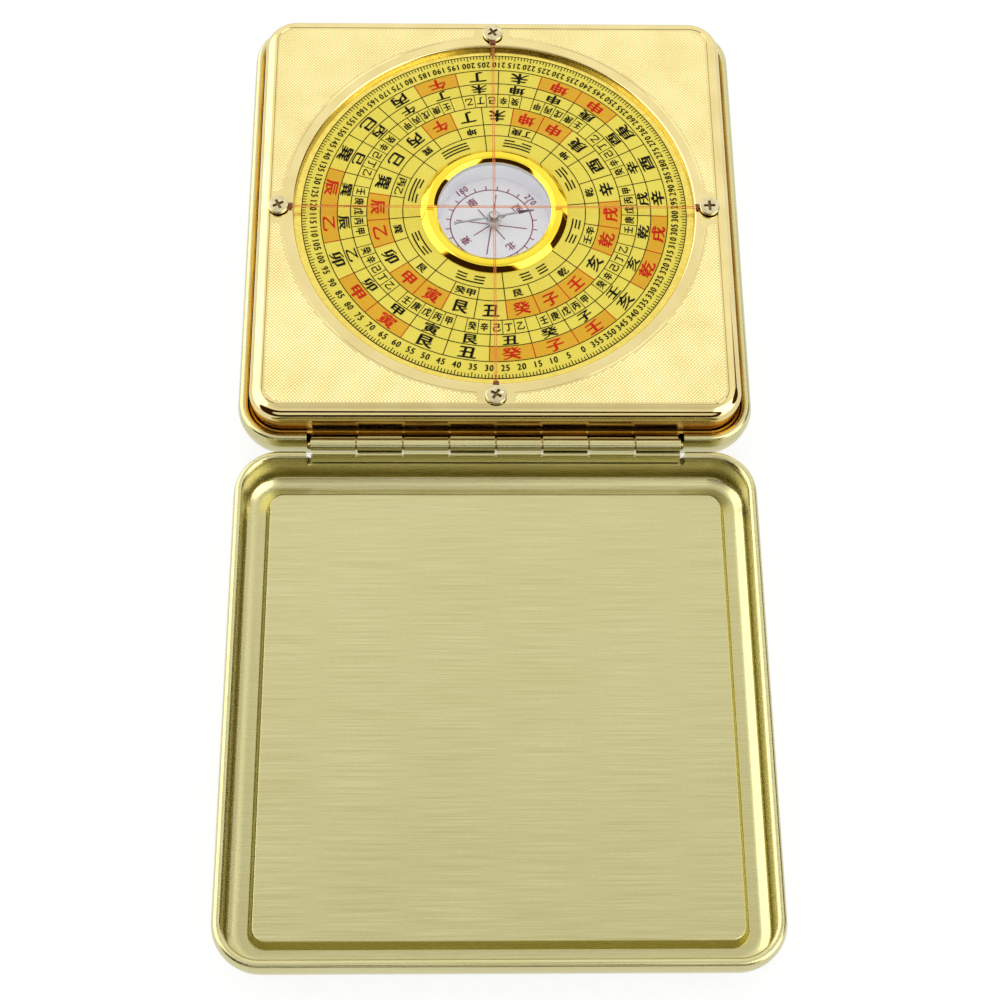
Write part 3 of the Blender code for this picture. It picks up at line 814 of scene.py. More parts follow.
def make_face_plate(materials):
    """The polished plate: turned-down sides, an engraved border and the round dial opening."""
    inner_half = plate_half - plate_sheet
    ledge_top = shell_depth - ledge_drop
    corners = [
        (inner_half - plate_round, plate_top - plate_sheet, 0),
        (inner_half, plate_top - plate_sheet, plate_round - plate_sheet),
        (inner_half, skirt_under, 0),
        (plate_half, skirt_under, 0),
        (plate_half, ledge_top - 2 * ledge_reach, 0),
        (plate_half + ledge_reach, ledge_top - 2 * ledge_reach, 0),
        (plate_half + ledge_reach, ledge_top - ledge_reach, 0),
        (plate_half, ledge_top, 0),
        (plate_half, plate_top, plate_round),
        (border_half + groove_width / 2, plate_top, 0),
        (border_half, plate_top - groove_depth, 0),
        (border_half - groove_width / 2, plate_top, 0),
    ]
    bm = bmesh.new()
    rings = []
    for half, z in rounded_path(corners, 8):
        engraved = half < border_half + groove_width and z > plate_top - plate_sheet
        radius = border_corner + half - border_half if engraved else plate_corner - (plate_half - half)
        rings.append(square_ring(bm, half, radius, z))
    loft(bm, rings, capped=True)
    place = at(case_y)
    plate = mesh_object("face_plate_polished", bm, materials["gold"], place)
    opening = plate_half - plate_border
    low = plate_top - 2 * plate_sheet
    lip = arc(opening + opening_round, plate_top - opening_round, opening_round, 180, 90, 8)
    far = (opening + 2 * opening_round, plate_top + plate_sheet)
    profile = [(0, low), (opening, low)] + lip + [(lip[-1][0], far[1]), (0, far[1])]
    cutters = [turned("opening", profile, None, place, wide_circle)]
    for dx, dy in DIRECTIONS.values():
        spot = at(case_y + dy * screw_circle, x=dx * screw_circle)
        cutters.append(drill(shank_radius + hole_gap, low, far[1], spot))
    plate = carved(plate, cutters)
    # The plate's turned-down sides and the faces below the shell's rim take the deeper, darker gold: painted shade and
    # painted reflection of the gap.
    plate.data.materials.append(materials["skirt"])
    for face in plate.data.polygons:
        upright = abs(face.normal.z) < side_tilt and (face.center.xy - place.translation.xy).length > inner_half
        if face.center.z < plate_top - plate_round and (upright or face.center.z < shell_depth):
            face.material_index = 1
    finish(plate, "base", "face_plate")


def make_opening_collar(materials):
    """The turned-down edge of the plate's opening, which reaches almost to the dial."""
    inner = plate_half - plate_border
    outer = inner + collar_wall
    low = dial_top + collar_gap
    high = plate_top - opening_round
    profile = [(inner, low), (outer, low), (outer, high), (inner, high)]
    collar = turned("opening_collar", profile, materials["gold"], at(case_y), wide_circle, True)
    finish(collar, "base", "face_plate")


def new_geometry_tree(name, numbers):
    """An empty geometry tree, and its inputs: one for each number, and one for the material."""
    tree = bpy.data.node_groups.new(name, "GeometryNodeTree")
    tree.interface.new_socket("Geometry", in_out="OUTPUT", socket_type="NodeSocketGeometry")
    for label in numbers:
        tree.interface.new_socket(label, in_out="INPUT", socket_type="NodeSocketFloat")
    tree.interface.new_socket("Material", in_out="INPUT", socket_type="NodeSocketMaterial")
    return tree, add_node(tree, "NodeGroupInput").outputs


def end_geometry_tree(tree, instances, material):
    """Realise the instances, give them their material and send them out."""
    solid = add_node(tree, "GeometryNodeRealizeInstances", {0: instances})
    painted = add_node(tree, "GeometryNodeSetMaterial", {"Geometry": solid, "Material": material})
    add_node(tree, "NodeGroupOutput", {0: painted})
    return tree


def grown(name, tree, values, matrix):
    """The mesh that a geometry tree makes from these input values, moved into place."""
    obj = linked(name, bpy.data.meshes.new(name))
    modifier = obj.modifiers.new("grow", "NODES")
    modifier.node_group = tree
    for item in tree.interface.items_tree:
        if item.in_out == "INPUT":
            modifier[item.identifier] = values[item.name]
    result = meshed(obj)
    result.data.transform(matrix)
    return result


def knurl_tree():
    """Small pyramids on a diagonal grid, outside the arc and inside the border, but not on the pads."""
    labels = ("Pitch", "Stud Radius", "Stud Height", "Sink", "Arc Radius", "Field Half", "Field Corner", "Pad Half")
    tree, given = new_geometry_tree("knurl_field", labels)
    pitch, corner = given["Pitch"], given["Field Corner"]
    reach = add_node(tree, MATH, {0: given["Field Half"], 1: 2 * math.sqrt(2)}, operation="MULTIPLY")
    steps = add_node(tree, MATH, {0: reach, 1: pitch}, operation="DIVIDE")
    count = add_node(tree, MATH, {0: steps}, operation="CEIL")
    gaps = add_node(tree, MATH, {0: count, 1: 1.0}, operation="SUBTRACT")
    across = add_node(tree, MATH, {0: gaps, 1: pitch}, operation="MULTIPLY")
    sizes = {"Size X": across, "Size Y": across, "Vertices X": count, "Vertices Y": count}
    grid = add_node(tree, "GeometryNodeMeshGrid", sizes)
    diagonal = add_node(tree, "GeometryNodeTransform", {"Geometry": grid, "Rotation": (0, 0, math.pi / 4)})
    position = add_node(tree, "GeometryNodeInputPosition")
    mirrored = add_node(tree, VECTOR_MATH, {0: position}, operation="ABSOLUTE")
    distance = add_node(tree, VECTOR_MATH, {0: position}, operation="LENGTH").outputs["Value"]
    straight = add_node(tree, MATH, {0: given["Field Half"], 1: corner}, operation="SUBTRACT")
    limit = add_node(tree, "ShaderNodeCombineXYZ", {0: straight, 1: straight})
    beyond = add_node(tree, VECTOR_MATH, {0: mirrored, 1: limit}, operation="SUBTRACT")
    beyond = add_node(tree, VECTOR_MATH, {0: beyond, 1: (0, 0, 0)}, operation="MAXIMUM")
    bend = add_node(tree, VECTOR_MATH, {0: beyond}, operation="LENGTH").outputs["Value"]
    parts = add_node(tree, "ShaderNodeSeparateXYZ", {0: mirrored}).outputs
    nearest = add_node(tree, MATH, {0: parts[0], 1: parts[1]}, operation="MINIMUM")
    off_arc = add_node(tree, MATH, {0: distance, 1: given["Arc Radius"]}, operation="GREATER_THAN")
    in_border = add_node(tree, MATH, {0: bend, 1: corner}, operation="LESS_THAN")
    off_pads = add_node(tree, MATH, {0: nearest, 1: given["Pad Half"]}, operation="GREATER_THAN")
    kept = add_node(tree, MATH, {0: off_arc, 1: in_border}, operation="MULTIPLY")
    kept = add_node(tree, MATH, {0: kept, 1: off_pads}, operation="MULTIPLY")
    sizes = {"Vertices": 4, "Radius Top": 0.0, "Radius Bottom": given["Stud Radius"], "Depth": given["Stud Height"]}
    stud = add_node(tree, "GeometryNodeMeshCone", sizes, fill_type="NONE")
    sink = add_node(tree, MATH, {0: given["Sink"], 1: -1.0}, operation="MULTIPLY")
    down = add_node(tree, "ShaderNodeCombineXYZ", {2: sink})
    sunk = add_node(tree, "GeometryNodeTransform", {"Geometry": stud, "Translation": down})
    placing = {"Points": diagonal, "Selection": kept, "Instance": sunk}
    studs = add_node(tree, "GeometryNodeInstanceOnPoints", placing)
    return end_geometry_tree(tree, studs, given["Material"])


def spoke_tree():
    """Radial strips between two radii, one at each equal step of a turn."""
    tree, given = new_geometry_tree("spokes", SPOKE_LABELS)
    points = add_node(tree, "GeometryNodePoints", {"Count": given["Count"]})
    index = add_node(tree, "GeometryNodeInputIndex")
    step = add_node(tree, MATH, {0: math.tau, 1: given["Count"]}, operation="DIVIDE")
    turn = add_node(tree, MATH, {0: index, 1: step}, operation="MULTIPLY")
    turn = add_node(tree, MATH, {0: turn, 1: given["First Angle"]}, operation="ADD")
    rotation = add_node(tree, "ShaderNodeCombineXYZ", {2: turn})
    ends = {0: given["Outer Radius"], 1: given["Inner Radius"]}
    length = add_node(tree, MATH, ends, operation="SUBTRACT")
    total = add_node(tree, MATH, ends, operation="ADD")
    middle = add_node(tree, MATH, {0: total, 1: 0.5}, operation="MULTIPLY")
    sizes = {"Size X": length, "Size Y": given["Line Width"], "Vertices X": 2, "Vertices Y": 2}
    strip = add_node(tree, "GeometryNodeMeshGrid", sizes)
    move = add_node(tree, "ShaderNodeCombineXYZ", {0: middle, 2: given["Height"]})
    placed = add_node(tree, "GeometryNodeTransform", {"Geometry": strip, "Translation": move})
    placing = {"Points": points, "Instance": placed, "Rotation": rotation}
    strips = add_node(tree, "GeometryNodeInstanceOnPoints", placing)
    return end_geometry_tree(tree, strips, given["Material"])


def make_knurl(materials):
    """The knurled corners of the plate: rows of tiny pyramids inside the border."""
    values = {
        "Pitch": stud_pitch,
        "Stud Radius": stud_pitch * stud_share,
        "Stud Height": stud_height,
        "Sink": stud_height / 4,
        "Arc Radius": arc_radius + stud_pitch,
        "Field Half": border_half - stud_pitch,
        "Field Corner": border_corner,
        "Pad Half": pad_half + stud_pitch / 2,
        "Material": materials["knurl"],
    }
    knurl = grown("knurl_field", knurl_tree(), values, at(case_y, plate_top))
    finish(knurl, "base", "face_plate")


def make_arc_lines(materials):
    """The raised line round the dial opening, broken at the four screw pads."""
    bm = bmesh.new()
    crown_share = 0.25
    section = [(-0.5, 0), (-crown_share, 1), (crown_share, 1), (0.5, 0)]
    steps = 60
    first = math.degrees(math.asin(pad_half / arc_radius))
    for quarter in range(4):
        start = 90 * quarter + first
        end = 90 * quarter + 90 - first
        rows = []
        for across, up in section:
            radius = arc_radius + across * arc_ridge_width
            z = plate_top + up * arc_ridge_height - ink_step / 2
            rows.append(vertex_row(bm, arc(0, 0, radius, start, end, steps), z))
        for low, high in zip(rows, rows[1:]):
            for i in range(steps):
                bm.faces.new((low[i], low[i + 1], high[i + 1], high[i]))
        for i in (0, -1):
            bm.faces.new([row[i] for row in rows])
    ridge = mesh_object("plate_arc_lines", bm, materials["gold"], at(case_y))
    finish(ridge, "base", "face_plate")


def slot_cutter(half_x, half_y, matrix):
    """A tapered slot of the cross recess, narrower at its floor."""
    floor = screw_top - recess_depth
    roof = screw_top + recess_depth
    bm = bmesh.new()
    rings = []
    for share, z in ((1 - recess_taper, floor), (1 + recess_taper, roof)):
        x, y = half_x * share, half_y * share
        rings.append(vertex_row(bm, [(-x, -y), (x, -y), (x, y), (-x, y)], z))
    loft(bm, rings, capped=True)
    return mesh_object("slot", bm, None, matrix)


def make_screw(side, turn, materials):
    """A small nickel-plated screw with a low rounded head and a cross recess."""
    dx, dy = DIRECTIONS[side]
    place = at(case_y + dy * screw_circle, turn=turn, x=dx * screw_circle)
    under = screw_top - head_height
    crown = arc(screw_head_radius - head_round, screw_top - head_round, head_round, 0, 78, 6)
    profile = [(0, screw_under), (shank_radius, screw_under), (shank_radius, under), (screw_head_radius, under)]
    profile += crown + [(0, screw_top)]
    screw = turned("screw_head_" + side, profile, materials["nickel"], place, small_circle)
    halves = (recess_length / 2, recess_width / 2)
    cutters = [slot_cutter(*halves, place), slot_cutter(*halves[::-1], place)]
    eye = recess_width * recess_eye_share
    cutters.append(drill(eye, screw_top - recess_depth, screw_top + recess_depth, place, 24))
    screw = carved(screw, cutters)
    # The faces inside the cross recess take the dark brown recess colour: painted shade.
    screw.data.materials.append(materials["recess"])
    middle = place.translation.xy
    for face in screw.data.polygons:
        inside = (face.center.xy - middle).length < recess_length * recess_reach_share
        if inside and screw_top - 2 * recess_depth < face.center.z < screw_top - ink_step:
            face.material_index = 1
    finish(screw, "base", "screw_" + side)


def tube(name, points, radius, cyclic, material, sides=3):
    """A round tube along points."""
    curve = bpy.data.curves.new(name, "CURVE")
    curve.dimensions = "3D"
    curve.bevel_depth = radius
    curve.bevel_resolution = sides
    curve.use_fill_caps = not cyclic
    spline = curve.splines.new("POLY")
    spline.points.add(len(points) - 1)
    for spot, point in zip(spline.points, points):
        spot.co = (*point, 1)
    spline.use_cyclic_u = cyclic
    curve.materials.append(material)
    return meshed(linked(name, curve))


def thread_points(lift):
    """The loop of a crosshair thread: two strands that part round the screw at each end."""
    loop_radius = shank_radius + hole_gap / 2 + thread_diameter / 2
    strand = thread_spacing / 2
    throat = screw_circle - loop_radius - throat_length
    leaving = screw_circle + loop_radius * math.cos(math.radians(grip_angle))
    height = loop_radius * math.sin(math.radians(grip_angle))
    parting = []
    for i in range(1, parting_steps):
        share = i / parting_steps
        ease = share * share * (3 - 2 * share)
        parting.append((throat + (leaving - throat) * share, strand + (height - strand) * ease))
    side = [(-throat + 2 * throat * i / strand_steps, strand) for i in range(strand_steps + 1)]
    grip = arc(screw_circle, 0, loop_radius, grip_angle, -grip_angle, 24)
    side += parting + grip + [(x, -y) for x, y in parting[::-1]]
    loop = side + [(-x, -y) for x, y in side]
    return [(x, y, lift * max(0, 1 - abs(x) / throat)) for x, y in loop]


def knot_points():
    """The few turns of thread that bind the two strands beside a screw."""
    start = screw_circle - screw_head_radius - knot_length
    steps = knot_steps * knot_turns
    points = []
    for i in range(steps + 1):
        turn = math.tau * knot_turns * i / steps
        x = start + knot_length * i / steps
        points.append((x, knot_flatness * knot_radius * math.cos(turn), knot_radius * math.sin(turn)))
    return points


def make_thread(name, node, turn, lift, materials):
    """One crosshair thread with its two small bindings."""
    thread = tube(name, thread_points(lift), thread_diameter / 2, True, materials["thread"])
    thread.data.transform(at(case_y, thread_z, turn))
    finish(thread, "base", node, 60)
    # The bindings carry the dark brown binding colour: painted shade where the strands part.
    for end, half_turn in (("far", 0), ("near", math.pi)):
        knot = tube(name + "_binding_" + end, knot_points(), knot_thread / 2, False, materials["knot"], 2)
        knot.data.transform(at(case_y, thread_z + knot_rise, turn + half_turn))
        finish(knot, "base", node, 60)


def flat_ring(bm, inner, outer, z, start=0.0, end=360.0):
    """A flat annulus or sector of one, as quads of at most two degrees."""
    widest = 2
    steps = max(1, math.ceil((end - start) / widest))
    low, high = (vertex_row(bm, arc(0, 0, radius, start, end, steps), z) for radius in (inner, outer))
    for i in range(steps):
        bm.faces.new((low[i], high[i], high[i + 1], low[i + 1]))


def make_print(name, bm, ink, node, x=0.0):
    """A print layer of the dial or the card: flat faces that look up."""
    bmesh.ops.remove_doubles(bm, verts=bm.verts, dist=ink_step / 100)
    layer = from_bmesh(name, bm, ink, at(case_y, x=x))
    finish(layer, "dial", node)


@functools.cache
def glyph_mesh(character):
    """The flat mesh of one character of size 1, with its middle at the origin."""
    curve = bpy.data.curves.new("glyph", "FONT")
    curve.body = character
    curve.resolution_u = 3
    curve.fill_mode = "FRONT"
    plain = meshed(linked("glyph", curve))
    mesh = plain.data
    bpy.data.objects.remove(plain)
    middle_x, middle_y = cjk_middle
    if character.isdigit():
        xs = [v.co.x for v in mesh.vertices]
        middle_x, middle_y = (min(xs) + max(xs)) / 2, digit_height / 2
    mesh.transform(Matrix.Translation((-middle_x, -middle_y, 0)))
    return mesh


def stamp(bm, text, radius, angle, width, height, z, inward=True):
    """Set characters side by side at a place on a circle, each printed twice a hair apart to embolden it."""
    place = Matrix.Rotation(math.radians(angle), 4, "Z") @ Matrix.Translation((radius, 0, z))
    place = place @ Matrix.Rotation(math.pi / 2 if inward else -math.pi / 2, 4, "Z")
    for i, character in enumerate(text):
        offset = (i - (len(text) - 1) / 2) * width
        scale_x = width / (digit_advance if character.isdigit() else 1)
        scale_y = height / (digit_height if character.isdigit() else cjk_height)
        for layer, side in enumerate((-bold_shift, bold_shift)):
            move = Matrix.Translation((offset + side * scale_x, side * scale_y / 2, layer * ink_step / 4))
            mesh = glyph_mesh(character).copy()
            mesh.transform(place @ move @ Matrix.Diagonal((scale_x, scale_y, 1, 1)))
            bm.from_mesh(mesh)
            bpy.data.meshes.remove(mesh)


def dial_angle(reading):
    """The direction on the dial, in degrees from +X, of a compass reading."""
    return reading_at_x - reading


def between(band):
    """The inner and outer radius of a band."""
    return band[1] * tick_radius, band[0] * tick_radius


def make_dial_base(materials):
    """The bare gold disc under the print."""
    inner = cup_radius + fit_gap
    profile = [(inner, dial_under), (dial_radius, dial_under), (dial_radius, dial_top), (inner, dial_top)]
    disc = turned("dial_base", profile, materials["dial_gold"], at(case_y), wide_circle, True)
    finish(disc, "dial", "dial_disc")


def make_dial_ground(materials):
    """The yellow enamel inside the tick circle."""
    bm = bmesh.new()
    flat_ring(bm, ring_outer_radius - fit_gap, tick_radius, dial_top + ink_step)
    make_print("dial_ground", bm, materials["ground"], "dial_disc")


def make_dial_cells(materials):
    """The orange cells behind the red characters, with a red line at each side."""
    cells, edges = bmesh.new(), bmesh.new()
    z = dial_top + 2 * ink_step
    for i, character in enumerate(MOUNTAINS):
        if character not in RED_MOUNTAINS:
            continue
        for band, lead in ((OUTER_BAND, half_cell), (INNER_BAND, 0)):
            span_radii = between(band)
            half_line = math.degrees(line_width / sum(span_radii))
            start = dial_angle(cell_angle * i + lead) - half_cell
            end = start + cell_angle
            flat_ring(cells, *span_radii, z, start, end)
            for side in (start, end):
                flat_ring(edges, *span_radii, z + 1.5 * ink_step, side - half_line, side + half_line)
    make_print("dial_cells", cells, materials["orange"], "dial_disc")
    make_print("dial_red_lines", edges, materials["red_ink"], "dial_disc")


def make_spokes(name, rows, material, node, x=0.0):
    """Separator lines or ticks: each row is (count, first angle, inner, outer, width, height)."""
    tree = spoke_tree()
    bm = bmesh.new()
    for row in rows:
        values = dict(zip(SPOKE_LABELS, map(float, row)), Material=material)
        part = grown("spoke_row", tree, values, Matrix())
        bm.from_mesh(part.data)
        bpy.data.objects.remove(part)
    make_print(name, bm, material, node, x)


def make_dial_lines(materials):
    """The black circles, ticks and cell separators."""
    z = dial_top + 3 * ink_step
    bands = (NUMBER_BAND, OUTER_BAND, SECOND_BAND, STEM_BAND, INNER_BAND, SMALL_BAND)
    bm = bmesh.new()
    for share in [1.0] + [inner for _, inner in bands]:
        radius = share * tick_radius
        flat_ring(bm, radius - line_width / 2, radius + line_width / 2, z)
    make_print("dial_circles", bm, materials["black_ink"], "dial_disc")
    zero = math.radians(dial_angle(0))
    shifted = zero + math.radians(half_cell)
    trigram_side = zero + math.radians(trigram_angle / 2)
    rows = [
        (360, zero, tick_radius - tick_length, tick_radius, tick_width, z),
        (72, zero, tick_radius - long_tick_length, tick_radius, tick_width, z),
        (24, zero, *between(OUTER_BAND), line_width, z),
        (24, zero, *between(SECOND_BAND), line_width, z),
        (72, zero, *between(STEM_BAND), line_width * stem_line_share, z),
        (24, shifted, *between(INNER_BAND), line_width, z),
        (24, shifted, *between(SMALL_BAND), line_width, z),
        (8, trigram_side, *between(TRIGRAM_BAND), line_width, z),
    ]
    make_spokes("dial_separators", rows, materials["black_ink"], "dial_disc")


def make_dial_characters(materials):
    """The degree numbers, the branch and stem characters, and the trigrams."""
    z = dial_top + 4 * ink_step
    black, red = bmesh.new(), bmesh.new()
    bands = (OUTER_BAND, SECOND_BAND, INNER_BAND, SMALL_BAND, STEM_BAND)
    outer, second, inner, small, stem = (sum(between(band)) / 2 for band in bands)
    for reading in range(0, 360, stem_angle):
        stamp(black, str(reading), number_radius, dial_angle(reading), number_width, number_height, z)
    for i, character in enumerate(MOUNTAINS):
        ink = red if character in RED_MOUNTAINS else black
        reading = cell_angle * i
        stamp(ink, character, outer, dial_angle(reading + half_cell), *OUTER_SIZE, z)
        stamp(black, character, second, dial_angle(reading - half_cell), *SECOND_SIZE, z)
        stamp(ink, character, inner, dial_angle(reading), *INNER_SIZE, z)
        stamp(black, SMALL_MARKS.get(character, ""), small, dial_angle(reading), *SMALL_SIZE, z)
    for group in range(180 // cell_angle):
        first = 2 * cell_angle * group - cell_angle + stem_angle / 2
        for place, character in enumerate(ODD_STEMS if group % 2 else EVEN_STEMS):
            stamp(black, character, stem, dial_angle(first + stem_angle * place), *STEM_SIZE, z)
    for i, bars in enumerate(TRIGRAMS):
        for row, bar in enumerate(bars):
            radius = trigram_radius - row * trigram_spacing
            reach = math.degrees(trigram_half / radius)
            gap = math.degrees(trigram_gap / 2 / radius) if bar == "-" else 0
            middle = dial_angle(trigram_angle * i)
            edges = (radius - trigram_line / 2, radius + trigram_line / 2)
            for start, end in ((-reach, -gap), (gap, reach)):
                flat_ring(black, *edges, z, middle + start, middle + end)
    make_print("dial_characters", black, materials["black_ink"], "dial_disc")
    make_print("dial_red_characters", red, materials["red_ink"], "dial_disc")


def make_cup(materials):
    """The capsule's white cup."""
    wall_top = glass_under - fit_gap
    collar_top = felt_top + collar_lift
    profile = [
        (0, cup_under),
        (cup_radius, cup_under),
        (cup_radius, collar_top - collar_height),
        (cup_radius + cup_collar, collar_top - collar_height),
        (cup_radius + cup_collar, collar_top),
        (cup_radius, collar_top),
        (cup_radius, dial_top),
        (glass_radius + fit_gap, dial_top),
        (glass_radius + fit_gap, wall_top),
        (cup_inner_radius, wall_top),
        (cup_inner_radius, cup_under + cup_floor + wall_foot_round),
        (cup_inner_radius - wall_foot_round, cup_under + cup_floor),
        (pivot_hole, cup_under + cup_floor),
        (pivot_hole, cup_under + cup_floor / 4),
        (0, cup_under + cup_floor / 4),
    ]
    cup = turned("capsule_bowl", profile, materials["lacquer"], at(case_y), middle_circle)
    finish(cup, "dial", "capsule_cup")


def make_capsule_ring(materials):
    """The gold ring over the glass: a flat-topped crown between two sloping sides."""
    lip_under = ring_top - ring_lip - ring_sink
    foot = ring_under - ring_sink
    inside = sight_radius + ring_lip_wall
    crown_middle = (crown_outer + crown_inner) / 2
    corners = [
        (inside, ring_under, 0),
        (inside + ring_lip_wall, foot, 0),
        (ring_outer_radius, foot, 0),
        (ring_outer_radius, foot + ring_edge, ring_edge / 2),
        (crown_outer, ring_top - crown_rise, crown_outer_round),
        (crown_middle, ring_top, 0),
        (crown_inner, ring_top - crown_rise, crown_inner_round),
        (sight_radius, lip_under + ring_edge, ring_edge / 2),
        (sight_radius, lip_under, 0),
        (inside, lip_under, 0),
    ]
    profile = rounded_path(corners, 10)
    ring = turned("capsule_bezel", profile, materials["ring"], at(case_y), wide_circle, True)
    finish(ring, "dial", "capsule_ring")


def make_window(materials):
    """The flat glass, with its edge just broken."""
    edge = glass_edge
    profile = [
        (0, glass_under),
        (glass_radius - edge, glass_under),
        (glass_radius, glass_under + edge),
        (glass_radius, glass_top - edge),
        (glass_radius - edge, glass_top),
        (0, glass_top),
    ]
    window = turned("capsule_window", profile, materials["glass"], at(case_y), middle_circle)
    finish(window, "dial", "capsule_glass")


def make_card(materials):
    """The paper card on the cup's floor, with its printed rose."""
    low = card_top - card_thickness
    edge = cup_inner_radius - ink_step
    profile = [(pivot_hole, low), (edge, low), (edge, card_top), (pivot_hole, card_top)]
    card = turned("card_sheet", profile, materials["card"], at(case_y), middle_circle, True)
    finish(card, "dial", "compass_card")
    z = card_top + ink_step
    zero = math.radians(card_reading_at_x)
    half_ray = math.pi / 4
    rows = [
        (24, zero, rose_radius, rose_radius + rose_tick, rose_line, z),
        (4, zero, pivot_hole, rose_short_ray, rose_line, z),
        (4, zero + half_ray, pivot_hole, rose_long_ray, rose_line, z),
    ]
    make_spokes("card_rays", rows, materials["card_ink"], "compass_card", print_shift)
    bm = bmesh.new()
    flat_ring(bm, rose_radius - rose_line / 2, rose_radius + rose_line / 2, z)
    for i, (number, name) in enumerate((("0", "北"), ("90", "東"), ("180", "南"), ("270", "西"))):
        angle = card_reading_at_x - 90 * i
        stamp(bm, number, rose_number_radius, angle, number_width, number_height, z, inward=False)
        stamp(bm, name, rose_name_radius, angle, *ROSE_SIZE, z, inward=False)
    make_print("card_marks", bm, materials["card_ink"], "compass_card", print_shift)


def make_needle(materials):
    """The thin steel needle with its painted arrow tip."""
    half = needle_length / 2
    narrow = needle_width / 2
    tip_base = half - needle_tip_length
    eye = hub_neck_radius + fit_gap / 2
    eye_outside = eye + needle_width
    reach = math.degrees(math.asin(narrow / eye_outside))
    blunt = needle_width / 8
    upper = [(half, blunt), (tip_base, needle_tip_width / 2), (tip_base - narrow, narrow)]
    upper += arc(0, 0, eye_outside, reach, 180 - reach, 24)
    upper += [(-half + needle_tail_width, narrow), (-half, needle_tail_width / 2)]
    outline = upper + [(x, -y) for x, y in reversed(upper)]
    bm = bmesh.new()
    loft(bm, [vertex_row(bm, outline, z) for z in (needle_under, needle_top)], capped=True)
    place = at(case_y, turn=needle_heading)
    blade = mesh_object("needle_blade", bm, materials["needle"], place)
    blade = carved(blade, [drill(eye, needle_under - fit_gap, needle_top + fit_gap, place, drill_circle)])
    finish(blade, "needle", "compass_needle")
    bm = bmesh.new()
    z = needle_top + ink_step / 4
    bm.faces.new(vertex_row(bm, upper[2::-1] + [(x, -y) for x, y in upper[:3]], z))
    paint = mesh_object("needle_tip_paint", bm, materials["tip"], place)
    finish(paint, "needle", "compass_needle")


def make_hub(materials):
    """The nickel hub: a rounded flange under the needle, a narrower foot and a neck above."""
    shoulder = needle_under - fit_gap / 4
    crown = arc(hub_neck_radius - hub_round, hub_top - hub_round, hub_round, 0, 90, 4)
    flange = arc(hub_radius - hub_round, shoulder - hub_round, hub_round, 0, 90, 4)
    flange_under = shoulder - hub_flange
    foot = arc(hub_radius - hub_round, flange_under + hub_round, hub_round, -90, 0, 4)
    bore_roof = hub_top - hub_roof
    profile = [(hub_bore_radius, hub_under), (hub_foot_radius, hub_under), (hub_foot_radius, flange_under)]
    profile += foot + flange + [(hub_neck_radius, shoulder)] + crown
    profile += [(0, hub_top), (0, bore_roof), (jewel_radius, bore_roof), (jewel_radius, hub_under + hub_bore_radius)]
    hub = turned("needle_cap", profile, materials["hub"], at(case_y), small_circle, True)
    finish(hub, "needle", "needle_hub")


def paint_inner_parts(materials):
    """Give the plain inner pieces of the frame their finish."""
    finishes = {
        "carrier_plate": "turned",
        "turntable_plate": "turned",
        "foam_pad": "foam",
        "felt_ring": "felt",
        "hub_jewel": "agate",
        "pivot_pin": "nickel",
    }
    finishes.update({"post_" + side: "turned" for side in DIRECTIONS})
    for node, finish_name in finishes.items():
        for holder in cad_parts[node].material_slots:
            holder.material = materials[finish_name]


def floor_material():
    """A grey sheet lifted to white where it is seen, so that the object's soft shadow stays faint."""
    material, tree, shader, coords = new_material("paper_sweep")
    fibre = noise(tree, coords, 1.5 * MM, detail=4.0)
    tone = blend_colours(tree, spread(tree, fibre), "8A8A8A", "848484")
    feed(shader, {"Base Color": tone, "Roughness": 0.9, "Specular IOR Level": 0.1})
    path = add_node(tree, "ShaderNodeLightPath").outputs
    seen = path["Is Camera Ray"]
    for ray in ("Is Glossy Ray", "Is Transmission Ray"):
        seen = add_node(tree, MATH, {0: seen, 1: path[ray]}, operation="MAXIMUM")
    lift = add_node(tree, MATH, {0: seen, 1: floor_lift}, operation="MULTIPLY")
    glow = add_node(tree, "ShaderNodeEmission", {0: (1, 1, 1, 1), 1: lift})
    material.cycles.emission_sampling = "NONE"
    total = add_node(tree, "ShaderNodeAddShader", {0: shader, 1: glow})
    feed(tree.nodes["Material Output"], {"Surface": total})
    return material


def make_floor():
    """The sheet under the open compass."""
    bm = bmesh.new()
    bmesh.ops.create_grid(bm, x_segments=1, y_segments=1, size=floor_half)
    floor = mesh_object("paper_floor", bm, floor_material(), at(0, -ink_step))


def off_middle(tree, value, ends):
    """How far an angle lies from the middle of a range, where 1 is either end, to the zone's power."""
    low, high = (math.radians(end) for end in ends)
    for operation, number in (
        ("SUBTRACT", (low + high) / 2),
        ("ABSOLUTE", 0.0),
        ("DIVIDE", (high - low) / 2),
        ("POWER", zone_power),
    ):
        value = add_node(tree, MATH, {0: value, 1: number}, operation=operation)
    return value


def tent_light_level(tree, height):
    """The plain light of the tent: even up to its shoulder, then falling toward the top."""
    for operation, number in (
        ("SUBTRACT", tent_shoulder),
        ("MAXIMUM", 0.0),
        ("POWER", 2.0),
        ("MULTIPLY", -tent_fall),
        ("ADD", 1.0),
        ("MULTIPLY", tent_light),
    ):
        height = add_node(tree, MATH, {0: height, 1: number}, operation=operation)
    return height


